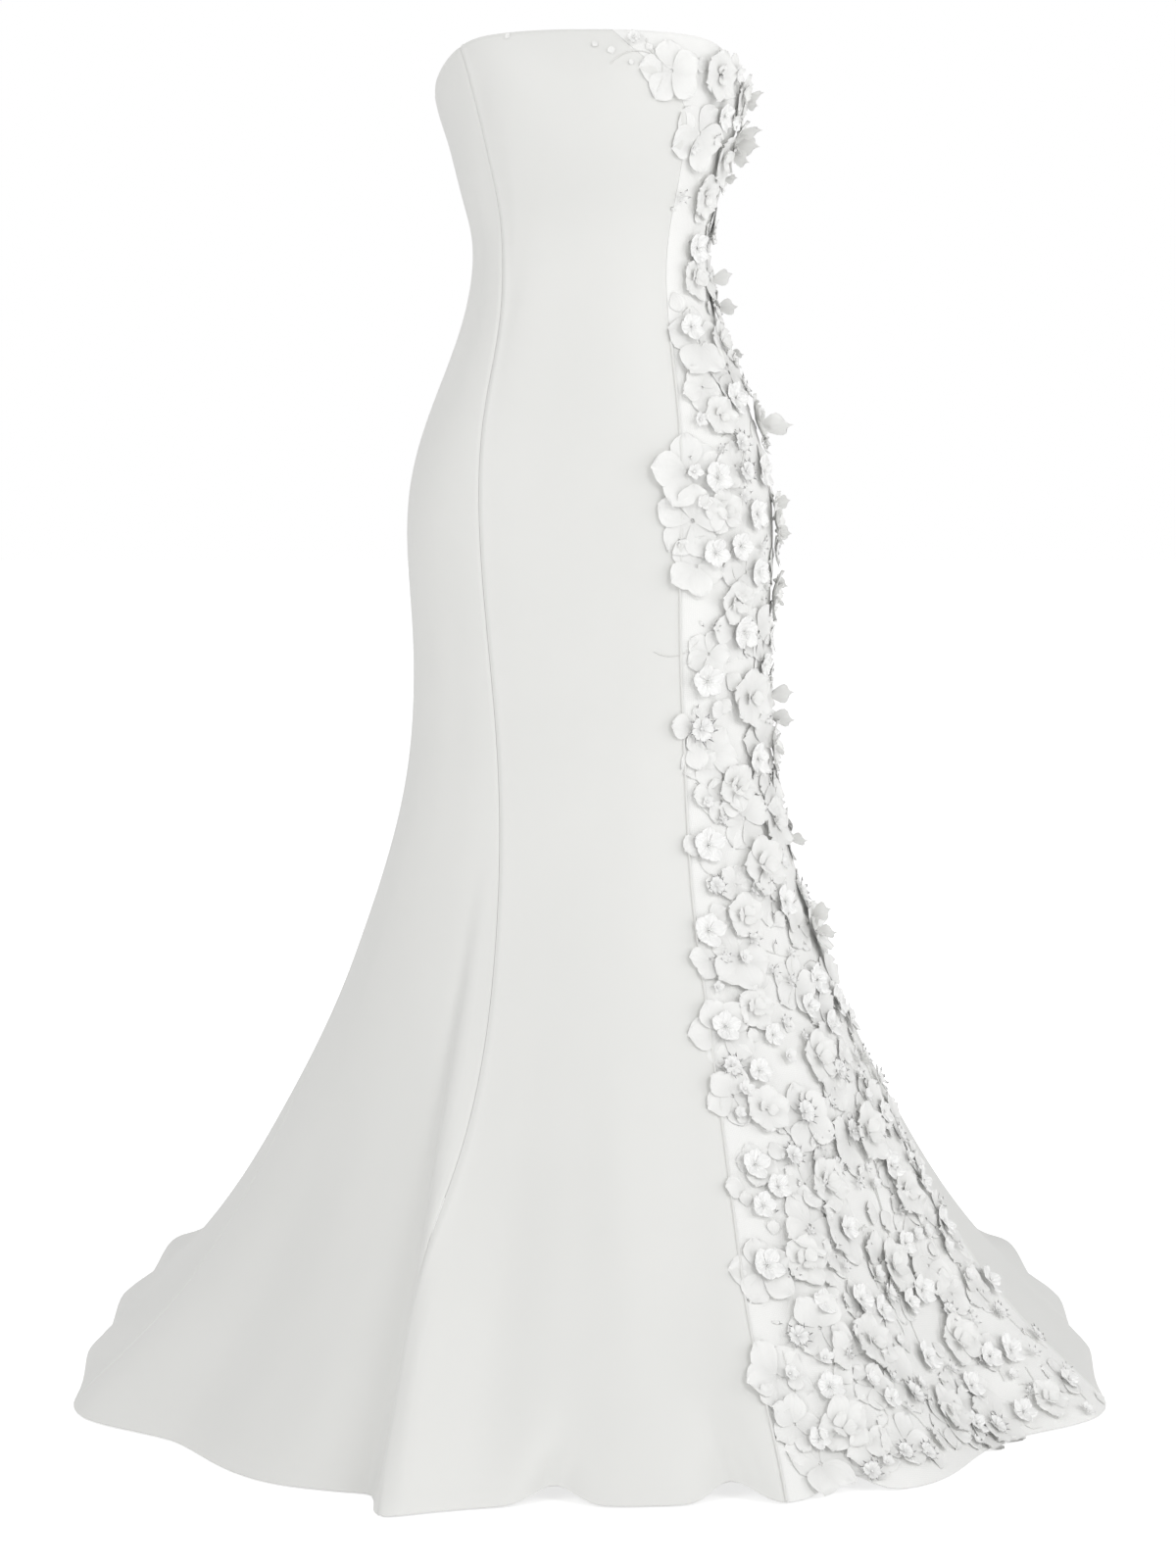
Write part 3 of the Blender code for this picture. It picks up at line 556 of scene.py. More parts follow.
def makeTapeFinish(crepe):
    # the close herringbone weave of a zip's tape
    material, tree, shader = newMaterial("zip tape", 0.72, 0.25, 0.2)
    place = addNode(tree, "ShaderNodeUVMap")
    weave = placeGroup(tree, crepe, place, "UV", {"Threads Per Metre": 5200.0, "Drift Scale": 60.0})
    join(tree, mixColours(tree, weave, (0.76, 0.76, 0.74), (0.82, 0.82, 0.80), "Drift"), shader, 2, "Base Color")
    addBump(tree, shader, weave, "Height", 0.5, 0.0002)
    return material


def makeEnamelFinish():
    # white enamel over metal, a little thinner and duller where hands touch it
    material, tree, shader = newMaterial("zip enamel", 0.30, 0.5, 0.0)
    shader.inputs["Coat Weight"].default_value = 0.3
    body = addNode(tree, "ShaderNodeTexCoord")
    speckle = addNode(tree, "ShaderNodeTexNoise", Scale=700.0, Detail=3.0)
    join(tree, body, speckle, "Object", "Vector")
    join(tree, mixColours(tree, speckle, (0.76, 0.76, 0.74), (0.84, 0.84, 0.82)), shader, 2, "Base Color")
    rough = addNode(tree, "ShaderNodeMapRange", i3=0.26, i4=0.42)
    join(tree, speckle, rough, 0, 0)
    join(tree, rough, shader, 0, "Roughness")
    addBump(tree, shader, speckle, 0, 0.15, 0.0001)
    return material


crepe = makeCrepeGroup()
net = makeNetGroup()
satin = makeSatin(
    "satin", crepe, clothFinish["light"], clothFinish["dark"], clothFinish["threads"], clothFinish["bump"]
)
tulle = makeTulle(crepe, net)
organza = makePetalFinish(
    "organza petals", (0.985, 0.985, 0.97), (0.95, 0.95, 0.935), 34.0, 0.50, 0.35, 0.30, (0.72, 0.86)
)
satinPetal = makePetalFinish(
    "satin petals", (0.97, 0.97, 0.96), (0.86, 0.86, 0.85), 26.0, 0.26, 0.10, 0.6, None
)
thread = makeThreadFinish()
tape = makeTapeFinish(crepe)
enamel = makeEnamelFinish()
print("finishes mixed")

# the cloth panels

# each from its lower angle to its higher one; flat is the cut's width and length, area its cloth
panels = {
    "center_front": {
        "edges": ("frontSeamRight", "floralEdge"), "columns": 60, "flat": (0.40, 1.40), "area": 0.303,
        "ridges": (0.0008, 0.0003), "dips": (0.0009, 0.0002),
    },
    "side_front": {
        "edges": ("sideSeamRight", "frontSeamRight"), "columns": 64, "flat": (0.50, 1.42), "area": 0.300,
        "ridges": (0.0004, 0.0),
    },
    "side_front_floral": {
        "edges": ("floralEdge", "sideSeamLeft"), "columns": 60, "flat": (0.50, 1.42), "area": 0.310,
        "ridges": (0.0, 0.0004), "dips": (0.0002, 0.0009),
    },
    "side_back_right": {
        "edges": ("backSeamRight", "sideSeamRight"), "columns": 72, "flat": (1.00, 1.70), "area": 0.560,
        "ridges": (0.0006, 0.0004),
    },
    "side_back_left": {
        "edges": ("sideSeamLeft", "backSeamLeft"), "columns": 72, "flat": (1.00, 1.70), "area": 0.560,
        "ridges": (0.0004, 0.0006),
    },
    "center_back_right": {
        "edges": ("centreBackRight", "backSeamRight"), "columns": 44, "flat": (0.45, 2.00), "area": 0.312,
        "ridges": (0.0, 0.0004),
    },
    "center_back_left": {
        "edges": ("backSeamLeft", "centreBackLeft"), "columns": 44, "flat": (0.45, 2.00), "area": 0.312,
        "ridges": (0.0004, 0.0),
    },
}
cloth = {
    "wall": 0.0016,
    "seamGap": 0.00015,
    "seamDip": 0.0009,
    "seamDipWidth": 0.0018,
    "ridgePlace": 0.0052,
    "ridgeWidth": 0.0026,
    "edgeRoll": 0.0009,
    "edgeRollWidth": 0.0022,
    "hemStitchPlace": 0.022,
    "hemStitchDip": 0.00035,
    "zipParting": 0.0012,
    "floorGap": 0.0004,
}
edgeSteps = np.array([0.0, 0.0006, 0.0013, 0.0022, 0.0034, 0.0050, 0.0068, 0.0090])
ringSteps = np.concatenate([
    [0.0, 0.03, 0.07, 0.12, 0.19, 0.28, 0.38],
    np.linspace(0.5, 27.5, 190),
    [27.65, 27.78, 27.87, 27.93, 27.965, 27.985, 28.0],
])


def columnShares(widths, columns):
    # fine steps beside both seams and even ones between
    near = edgeSteps[None, :] / widths[:, None]
    even = np.linspace(0.0, 1.0, columns - 2 * len(edgeSteps) + 3)[None, 1:-1]
    between = near[:, -1:] + (1.0 - 2.0 * near[:, -1:]) * even
    return np.concatenate([near, between, 1.0 - near[:, ::-1]], axis=1)


def seamShape(away, ridge, dip):
    dip = -dip * np.exp(-((away / cloth["seamDipWidth"]) ** 2))
    return dip + ridge * np.exp(-(((away - cloth["ridgePlace"]) / cloth["ridgeWidth"]) ** 2))


def sewPanel(name, look):
    settings = panels[name]
    first, second = (seamAngle(edge, ringSteps) for edge in settings["edges"])
    span = np.linspace(0.0, 1.0, 41)[None, :]
    line = surfacePoint(first[:, None] + (second - first)[:, None] * span, ringSteps[:, None] + 0.0 * span)
    widths = np.linalg.norm(np.diff(line, axis=1), axis=2).sum(axis=1)
    shares = columnShares(widths, settings["columns"])
    angle = first[:, None] + (second - first)[:, None] * shares
    position = np.broadcast_to(ringSteps[:, None], angle.shape)
    outer = surfacePoint(angle, position)
    normal = surfaceNormal(angle, position)
    fromFirst = shares * widths[:, None]
    fromSecond = (1.0 - shares) * widths[:, None]
    down = np.linalg.norm(np.diff(outer, axis=0), axis=2)
    fromTop = np.concatenate([np.zeros((1, down.shape[1])), np.cumsum(down, axis=0)])
    fromHem = fromTop[-1:] - fromTop
    dips = settings.get("dips", (cloth["seamDip"], cloth["seamDip"]))
    push = seamShape(fromFirst, settings["ridges"][0], dips[0])
    push += seamShape(fromSecond, settings["ridges"][1], dips[1])
    push -= cloth["edgeRoll"] * np.exp(-((fromTop / cloth["edgeRollWidth"]) ** 2))
    push -= cloth["hemStitchDip"] * np.exp(-(((fromHem - cloth["hemStitchPlace"]) / 0.0025) ** 2))
    push += creaseAmounts(angle, position)
    outer = outer + normal * push[..., None]
    # half the seam's gap at each edge, and the parting that the zip's neck goes through
    gaps = [np.full(len(ringSteps), cloth["seamGap"]), np.full(len(ringSteps), cloth["seamGap"])]
    for side, edge in enumerate(settings["edges"]):
        if edge.startswith("centreBack"):
            gaps[side][ringSteps <= 3.0] = cloth["zipParting"]
            closing = (1.0 - smoothStep(ringSteps - 2.5)) * (ringSteps > 3.0)
            gaps[side] += (cloth["zipParting"] - cloth["seamGap"]) * closing
    toward = outer[:, 6] - outer[:, 0]
    outer[:, 0] += toward / np.linalg.norm(toward, axis=1, keepdims=True) * gaps[0][:, None]
    toward = outer[:, -7] - outer[:, -1]
    outer[:, -1] += toward / np.linalg.norm(toward, axis=1, keepdims=True) * gaps[1][:, None]
    outer[..., 2] = np.maximum(outer[..., 2], cloth["wall"] + cloth["floorGap"] - waistHeight)
    piece, column, row = addGrid(name + "_cloth", outer.shape[1] - 1, outer.shape[0] - 1)
    writePlaces(piece, outer[row, column])
    flat = np.stack([fromFirst - widths[:, None] / 2.0, -fromTop], axis=-1)
    writeClothMap(piece, flat[row, column])
    applyModifier(
        piece, "SOLIDIFY", thickness=cloth["wall"], offset=-1.0, use_even_offset=False, use_rim=True
    )
    smoothShade(piece, 50.0)
    piece.data.materials.clear()
    piece.data.materials.append(look)
    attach(piece, "gown")
    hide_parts(name)
    return piece


sewn = {name: sewPanel(name, tulle if name.endswith("floral") else satin) for name in panels}
print("panels sewn")

# thin piping on the front seam beside the flowers, from the hip to the hem
piping = {"radius": 0.0013, "firstRing": 9.5, "lastRing": 27.98, "points": 220}


def sewPiping():
    position = np.linspace(piping["firstRing"], piping["lastRing"], piping["points"])
    angle = seamAngle("floralEdge", position)
    line = surfacePoint(angle, position) + surfaceNormal(angle, position) * 0.0004
    line[:, 2] = np.maximum(line[:, 2], 0.002 - waistHeight)
    piece = tubeAlong("front_piping", [line], piping["radius"], 8)
    smoothShade(piece, 60.0)
    piece.data.materials.append(satin)
    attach(piece, "gown")
    return piece


frontPiping = sewPiping()

# flowers

# petal: length and width, cup and curl lift the tip, bowl lifts the sides, fold creases the middle
petals = {
    "broad": {"length": 1.0, "width": 0.93, "cup": 0.02, "curl": 0.030, "bowl": 0.02, "fold": 0.00,
              "ripple": 0.050, "point": 0.03, "columns": 6, "rows": 6},
    "inner": {"length": 0.66, "width": 0.70, "cup": 0.10, "curl": 0.08, "bowl": 0.06, "fold": 0.00,
              "ripple": 0.03, "point": 0.04, "columns": 4, "rows": 5},
    "crisp": {"length": 1.0, "width": 0.92, "cup": 0.08, "curl": 0.02, "bowl": 0.00, "fold": 0.00,
              "ripple": 0.00, "point": 0.03, "pleat": 0.055, "columns": 6, "rows": 4},
    "pointed": {"length": 1.0, "width": 0.66, "cup": 0.10, "curl": -0.10, "bowl": 0.12, "fold": 0.06,
                "ripple": 0.02, "point": 0.20, "columns": 4, "rows": 5},
    "slender": {"length": 1.0, "width": 0.34, "cup": 0.16, "curl": -0.12, "bowl": 0.00, "fold": 0.22,
                "ripple": 0.00, "point": 0.30, "columns": 2, "rows": 5},
    "tiny": {"length": 1.0, "width": 0.74, "cup": 0.20, "curl": 0.08, "bowl": 0.16, "fold": 0.00,
             "ripple": 0.00, "point": 0.05, "columns": 2, "rows": 3},
}
# flower: layers of petal kind, count, size, rise in degrees, first turn, height; then beads
flowers = {
    "rose": {"layers": [("broad", 5, 1.00, 9.0, 0.0, 0.03), ("inner", 3, 0.80, 22.0, 10.0, 0.05)],
             "beads": 0, "beadSize": 0.05},
    "open": {"layers": [("broad", 6, 1.00, 8.0, 0.0, 0.02), ("inner", 2, 0.66, 18.0, 20.0, 0.05)],
             "beads": 3, "beadSize": 0.035},
    "organza": {"layers": [("broad", 5, 1.00, 1.0, 0.0, 0.010)],
                "beads": 0, "beadSize": 0.05},
    "crisp": {"layers": [("crisp", 5, 1.00, 12.0, 0.0, 0.05)], "beads": 3, "beadSize": 0.05},
    "daisy": {"layers": [("slender", 9, 1.00, 15.0, 0.0, 0.06)], "beads": 1, "beadSize": 0.09},
    "spray": {"layers": [("slender", 5, 1.00, 26.0, 0.0, 0.05)], "beads": 0, "beadSize": 0.1},
    "tiny": {"layers": [("tiny", 5, 1.00, 18.0, 0.0, 0.05)], "beads": 1, "beadSize": 0.16},
}
petalWall = 0.005


def shapePetal(form, wave):
    # a grid drawn out into a petal along +Y, its root at the origin
    piece, column, row = addGrid("petal", form["columns"], form["rows"])
    u = column / form["columns"] * 2.0 - 1.0
    v = 1.0 - row / form["rows"]
    spread = np.maximum(np.sin(math.pi * v**1.25) ** 0.62, np.where(v > 0.5, 0.26, 0.14))
    x = u * form["width"] / 2.0 * spread
    y = form["length"] * (0.06 + 0.94 * v - form["point"] * np.abs(u) * v**3)
    z = form["cup"] * v**2 * form["length"] + form["curl"] * v**4 * form["length"]
    z = z + form["bowl"] * form["width"] * u**2 * np.sin(math.pi * np.clip(v, 0.0, 0.9))
    z = z - form["fold"] * form["width"] * (1.0 - np.abs(u)) * np.sin(math.pi * v)
    z = z + form["ripple"] * np.sin(2.6 * u * math.pi / 2.0 + wave) * v**2
    z = z + form.get("pleat", 0.0) * np.cos(3.0 * math.pi * u) * np.sin(math.pi * np.clip(v, 0.1, 0.85))
    writePlaces(piece, np.stack([x, y, z], axis=1))
    writeClothMap(piece, np.stack([(u + 1.0) / 2.0, v], axis=1))
    applyModifier(piece, "SOLIDIFY", thickness=petalWall, offset=0.0, use_rim=True)
    return piece


def turned(places, degrees, axis):
    angle = math.radians(degrees)
    c, s = math.cos(angle), math.sin(angle)
    if axis == "x":
        matrix = np.array([[1, 0, 0], [0, c, -s], [0, s, c]])
    else:
        matrix = np.array([[c, -s, 0], [s, c, 0], [0, 0, 1]])
    return places @ matrix.T


def shapeFlower(name):
    parts = []
    for kind, count, size, rise, firstTurn, height in flowers[name]["layers"]:
        master = shapePetal(petals[kind], chance.uniform(0.0, 6.0))
        shape = readPlaces(master)
        for number in range(count):
            petal = master.copy()
            petal.data = master.data.copy()
            bpy.context.scene.collection.objects.link(petal)
            places = shape * size * chance.uniform(0.93, 1.05)
            places = turned(places, rise + chance.uniform(-5.0, 5.0), "x")
            places[:, 2] += height + 0.006 * (number % 2)
            turn = firstTurn + 360.0 / count * number + chance.uniform(-7.0, 7.0)
            writePlaces(petal, turned(places, turn, "z"))
            parts.append(petal)
        bpy.data.objects.remove(master)
    for number in range(flowers[name]["beads"]):
        clearSelection()
        bpy.ops.mesh.primitive_ico_sphere_add(subdivisions=1, radius=flowers[name]["beadSize"])
        bead = bpy.context.object
        places = readPlaces(bead)
        places[:, 2] = places[:, 2] * 0.8 + 0.16
        if flowers[name]["beads"] > 1:
            places[:, :2] += 0.07 * np.array(
                [math.cos(2.1 * number + 0.4), math.sin(2.1 * number + 0.4)]
            )
        writePlaces(bead, places)
        parts.append(bead)
    flower = joinPieces("flower_" + name, parts)
    smoothShade(flower, 70.0)
    return flower


def floralAngle(ring, across):
    first = seamAngle("floralEdge", np.array([ring]))[0]
    second = seamAngle("sideSeamLeft", np.array([ring]))[0]
    return first + (second - first) * across


def layOnCloth(shape, angle, ring, size, turn, cling, lift, lean=0.0):
    # lays a flower on the cloth; cling 1 follows the cloth's curve and 0 stays flat
    across, down = surfaceSteps(np.array([angle]), np.array([ring]))
    across, down = across[0], down[0]
    normal = np.cross(down, across)
    normal = normal / np.linalg.norm(normal)
    right = across / np.linalg.norm(across)
    up = np.cross(normal, right)
    places = turned(turned(shape, lean, "x"), turn, "z") * size
    flatPlaces = right * places[:, :1] + up * places[:, 1:2]
    matrix = np.column_stack([across, down])
    moves = np.linalg.lstsq(matrix, flatPlaces.T, rcond=None)[0]
    angles, positions = angle + moves[0], np.clip(ring + moves[1], 0.0, lastRing)
    spare = (ring + moves[1] - positions)[:, None] * down
    onCloth = surfacePoint(angles, positions) + spare
    flat = surfacePoint(np.array([angle]), np.array([ring]))[0] + flatPlaces
    placed = onCloth * cling + flat * (1.0 - cling)
    localNormal = surfaceNormal(angles, positions) * cling + normal * (1.0 - cling)
    placed = placed + localNormal * (places[:, 2:3] + lift)
    placed[:, 2] = np.maximum(placed[:, 2], 0.0022 - waistHeight)
    return placed


def plant(template, shape, angle, ring, size, turn, cling, lift, lean=0.0):
    flower = template.copy()
    flower.data = template.data.copy()
    bpy.context.scene.collection.objects.link(flower)
    writePlaces(flower, layOnCloth(shape, angle, ring, size, turn, cling, lift, lean))
    return flower


# the large flowers that the panel's solid raises: ring, share of the way across, radius, height, turn
blooms = (
    (0.9, 0.80, 0.020, 0.011, 35.0), (1.4, 0.46, 0.024, 0.010, 10.0), (3.2, 0.88, 0.026, 0.014, 40.0),
    (4.4, 0.60, 0.025, 0.013, 75.0), (5.9, 0.40, 0.022, 0.010, 20.0), (8.2, 0.35, 0.021, 0.009, 55.0),
    (9.5, 0.62, 0.024, 0.012, 5.0), (10.8, 0.30, 0.020, 0.009, 30.0), (10.9, 0.88, 0.026, 0.014, 62.0),
    (12.3, 0.24, 0.021, 0.009, 15.0), (12.4, 0.84, 0.026, 0.014, 48.0), (13.6, 0.36, 0.022, 0.010, 80.0),
    (13.5, 0.90, 0.025, 0.014, 22.0), (14.9, 0.50, 0.029, 0.012, 66.0), (15.6, 0.88, 0.025, 0.014, 8.0),
    (16.1, 0.32, 0.023, 0.009, 36.0), (16.7, 0.66, 0.027, 0.013, 51.0), (17.3, 0.45, 0.029, 0.012, 18.0),
    (18.1, 0.26, 0.023, 0.010, 71.0), (18.5, 0.86, 0.028, 0.014, 33.0), (19.6, 0.22, 0.022, 0.009, 58.0),
    (20.5, 0.52, 0.026, 0.011, 3.0), (21.2, 0.18, 0.024, 0.010, 44.0), (21.9, 0.70, 0.030, 0.014, 68.0),
    (22.5, 0.38, 0.027, 0.011, 27.0), (23.0, 0.80, 0.026, 0.013, 12.0), (23.6, 0.20, 0.025, 0.010, 53.0),
    (24.1, 0.62, 0.028, 0.011, 77.0), (25.0, 0.34, 0.029, 0.011, 39.0), (25.6, 0.74, 0.027, 0.012, 6.0),
    (26.4, 0.16, 0.026, 0.010, 24.0), (26.7, 0.54, 0.027, 0.010, 60.0), (27.2, 0.84, 0.022, 0.009, 31.0),
)
# how many smaller flowers are scattered between them, how large, how close, and how they stand
scatter = (
    {"kinds": ("organza",), "count": 84, "size": (0.021, 0.036), "spacing": 0.58, "lift": (0.0002, 0.0012)},
    {"kinds": ("crisp", "crisp", "daisy"), "count": 84, "size": (0.012, 0.018), "spacing": 0.95,
     "lift": (0.0016, 0.003)},
    {"kinds": ("spray", "tiny"), "count": 84, "size": (0.007, 0.011), "spacing": 0.9,
     "lift": (0.0010, 0.002)},
)
crispKinds = ("crisp", "daisy", "spray", "tiny")
looseCount = 170
twigCount = 70
twigStep = 0.0050
twigRadius = 0.00045


def scatterPlaces():
    # seeded places between the large flowers, none too close to another
    taken = []
    for ring, across, radius, height, turn in blooms:
        angle = floralAngle(ring, across)
        point = surfacePoint(np.array([angle]), np.array([ring]))[0]
        taken.append((point, radius * 0.55, True))
    rowRings = np.linspace(0.35, 27.75, 300)
    rowPoints = surfacePoint(seamAngle("floralEdge", rowRings), rowRings)
    otherPoints = surfacePoint(seamAngle("sideSeamLeft", rowRings), rowRings)
    firstAngles, secondAngles = seamAngle("floralEdge", rowRings), seamAngle("sideSeamLeft", rowRings)
    steps = np.linalg.norm(np.gradient((rowPoints + otherPoints) / 2.0, axis=0), axis=1)
    span = np.linspace(0.0, 1.0, 33)
    angles = firstAngles[:, None] + (secondAngles - firstAngles)[:, None] * span
    lines = surfacePoint(angles, rowRings[:, None] + 0.0 * span)
    runs = np.cumsum(np.linalg.norm(np.diff(lines, axis=1), axis=2), axis=1)
    runs = np.concatenate([np.zeros((len(rowRings), 1)), runs], axis=1)
    weights = np.cumsum(runs[:, -1] * steps)
    weights = weights / weights[-1]

    def anyPlace(low, high):
        # a ring and an angle anywhere on the panel, as likely on every bit of cloth
        row = min(int(np.searchsorted(weights, chance.random())), len(rowRings) - 1)
        share = chance.uniform(low, high) * runs[row, -1]
        return float(rowRings[row]), float(np.interp(share, runs[row], angles[row]))

    found = []
    for layer in scatter:
        # flowers of one kind keep clear of each other, the flat organza ones lie under the rest
        flatLayer = layer["kinds"] == ("organza",)
        others = [] if flatLayer else [mark for mark in taken if mark[2]]
        placed, tries = 0, 0
        while placed < layer["count"] and tries < layer["count"] * 60:
            tries += 1
            ring, angle = anyPlace(0.04, 0.985)
            size = chance.uniform(*layer["size"])
            point = surfacePoint(np.array([angle]), np.array([ring]))[0]
            marks = taken if flatLayer else others
            if marks:
                away = np.linalg.norm(np.array([mark[0] for mark in marks]) - point, axis=1)
                reach = layer["spacing"] * (size + np.array([mark[1] for mark in marks]))
                if np.any(away < reach):
                    continue
            taken.append((point, size, not flatLayer))
            if not flatLayer:
                others.append(taken[-1])
            found.append((chance.choice(layer["kinds"]), angle, ring, size, chance.uniform(*layer["lift"])))
            placed += 1
        print("placed", placed, layer["kinds"])
    return found, anyPlace


def plantFlowers():
    templates = {name: shapeFlower(name) for name in flowers}
    shapes = {name: readPlaces(template) for name, template in templates.items()}
    large, medium, small = [], [], []
    for number, (ring, across, radius, height, turn) in enumerate(blooms):
        kind = "rose" if number % 3 != 1 else "open"
        # flowers at the side open wider and stand off the cloth
        side = across > 0.8 and ring < 19.0
        shape = shapes[kind] * np.array([1.0, 1.0, 1.4 if side else 1.0])
        cling = 0.35 if side else 0.8
        angle = floralAngle(ring, across)
        large.append(plant(templates[kind], shape, angle, ring, radius * 1.06, turn, cling, 0.0008))
    found, anyPlace = scatterPlaces()
    for kind, angle, ring, size, lift in found:
        turn = chance.uniform(0.0, 360.0)
        flower = plant(templates[kind], shapes[kind], angle, ring, size, turn, 0.85, lift)
        (small if kind in crispKinds else medium).append(flower)
    for template in templates.values():
        bpy.data.objects.remove(template)
    return large, medium, small, anyPlace


# petals that stand out past the side, as the photograph shows them: ring, across, size, turn, lean
standingPetals = (
    (0.6, 0.90, 0.021, 70.0, 60.0), (0.9, 0.92, 0.018, 110.0, 55.0), (2.6, 0.90, 0.029, 65.0, 62.0),
    (3.1, 0.93, 0.031, 95.0, 60.0), (3.7, 0.90, 0.026, 120.0, 55.0), (4.8, 0.92, 0.017, 80.0, 50.0),
    (8.2, 0.90, 0.026, 75.0, 60.0), (8.8, 0.92, 0.026, 105.0, 55.0), (9.7, 0.90, 0.017, 120.0, 50.0),
    (11.0, 0.91, 0.039, 118.0, 62.0), (12.2, 0.92, 0.021, 80.0, 55.0), (12.6, 0.90, 0.021, 105.0, 55.0),
    (13.3, 0.92, 0.019, 125.0, 58.0), (14.9, 0.91, 0.029, 78.0, 62.0), (15.2, 0.92, 0.029, 108.0, 60.0),
    (17.0, 0.92, 0.023, 112.0, 55.0), (18.3, 0.91, 0.029, 85.0, 55.0), (18.6, 0.90, 0.026, 115.0, 60.0),
    (20.8, 0.86, 0.023, 95.0, 40.0),
)
# tiny petals that stray on to the plain front under the neckline: angle, ring, size, turn
strayPetals = (
    (-27.0, 0.30, 0.006, 60.0), (2.4, 0.65, 0.007, 140.0), (7.5, 1.30, 0.008, 20.0),
    (12.0, 0.60, 0.007, 250.0), (15.0, 1.60, 0.006, 100.0), (18.5, 1.00, 0.008, 310.0),
)


def plantPetals(anyPlace):
    kinds = ("pointed", "slender", "broad")
    masters = [shapePetal(petals[kind], chance.uniform(0.0, 6.0)) for kind in kinds]
    shapes = [readPlaces(master) for master in masters]
    loose = []
    for ring, across, size, turn, lean in standingPetals:
        angle = floralAngle(ring, across)
        loose.append(plant(masters[0], shapes[0], angle, ring, size, turn, 0.1, 0.001, lean))
    for degrees, ring, size, turn in strayPetals:
        angle = math.radians(degrees)
        loose.append(plant(masters[2], shapes[2], angle, ring, size, turn, 0.8, 0.0006, 8.0))
    for number in range(looseCount):
        ring, angle = anyPlace(0.02, 0.99)
        kind = 2 if chance.random() < 0.7 else 1
        size = chance.uniform(0.015, 0.027) * (1.0 if kind == 2 else 0.6)
        turn = chance.uniform(0.0, 360.0)
        lean = chance.uniform(1.0, 9.0)
        loose.append(plant(masters[kind], shapes[kind], angle, ring, size, turn, 0.6, 0.0006, lean))
    for master in masters:
        bpy.data.objects.remove(master)
    return loose


def stitchTwigs(anyPlace):
    # thin couched threads that wander between the flowers
    lines = []
    for number in range(twigCount):
        ring, angle = anyPlace(0.06, 0.94)
        heading = chance.uniform(0.0, 2.0 * math.pi)
        bend = chance.uniform(-0.35, 0.35)
        line = []
        for step in range(11):
            around, down = surfaceSteps(np.array([angle]), np.array([ring]))
            point = surfacePoint(np.array([angle]), np.array([ring]))[0]
            normal = surfaceNormal(np.array([angle]), np.array([ring]))[0]
            line.append(point + normal * 0.0007)
            angle += math.cos(heading) * twigStep / np.linalg.norm(around[0])
            ring = float(np.clip(ring + math.sin(heading) * twigStep / np.linalg.norm(down[0]), 0.1, 27.9))
            heading += bend
        line = np.array(line)
        line[:, 2] = np.maximum(line[:, 2], 0.003 - waistHeight)
        lines.append(line)
    return tubeAlong("embroidered_twigs", lines, twigRadius, 6)


large, medium, small, anyPlace = plantFlowers()
looseFound = plantPetals(anyPlace)
flowerPieces = [
    joinPieces("large_flowers", large),
    joinPieces("medium_flowers", medium),
    joinPieces("small_flowers", small),
    joinPieces("loose_petals", looseFound),
    stitchTwigs(anyPlace),
]
for piece, look in zip(flowerPieces, (organza, organza, satinPetal, organza, thread)):
    piece.data.materials.clear()
    piece.data.materials.append(look)
    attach(piece, "gown")
    print(piece.name, "faces", len(piece.data.polygons))
smoothShade(flowerPieces[3], 70.0)
print("flowers planted")

# the zip

zipSettings = {
    "lastRing": 13.0,
    "tapeWidth": 0.011,
    "tapeWall": 0.0008,
    "halfGap": 0.0016,
    "behind": 0.0019,
    "toothPitch": 0.0020,
    "toothSize": (0.0026, 0.0011, 0.0012),
    "firstToothDrop": 0.017,
    "stitchPlace": 0.0042,
}


def backAngle(x, position):
    places = basePoint(sampleAngles[None, :], np.asarray(position, dtype=float)[:, None])
    return np.array([np.interp(x, line[:360:-1, 0], sampleAngles[:360:-1]) for line in places])


def sewTape(name, side):
    position = np.linspace(0.02, zipSettings["lastRing"], 120)
    shares = np.linspace(0.0, 1.0, 7)
    columns = []
    for share in shares:
        angle = backAngle(zipSettings["halfGap"] + zipSettings["tapeWidth"] * share, position)
        points = surfacePoint(angle, position) - surfaceNormal(angle, position) * zipSettings["behind"]
        points[:, 0] *= side
        columns.append(points)
    places = np.stack(columns[:: int(side)], axis=1)
    piece, column, row = addGrid(name + "_weave", len(shares) - 1, len(position) - 1)
    # seen from behind the gown, +X is on the left, so the columns run the other way
    writePlaces(piece, places[row, len(shares) - 1 - column])
    fromTop = np.concatenate([[0.0], np.cumsum(np.linalg.norm(np.diff(columns[0], axis=0), axis=1))])
    flat = np.stack([column / 6.0 * zipSettings["tapeWidth"], -fromTop[row]], axis=1)
    writeClothMap(piece, flat)
    applyModifier(piece, "SOLIDIFY", thickness=zipSettings["tapeWall"], offset=-1.0, use_rim=True)
    smoothShade(piece, 40.0)
    piece.data.materials.clear()
    piece.data.materials.append(tape)
    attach(piece, "gown")
    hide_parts(name)
    return piece


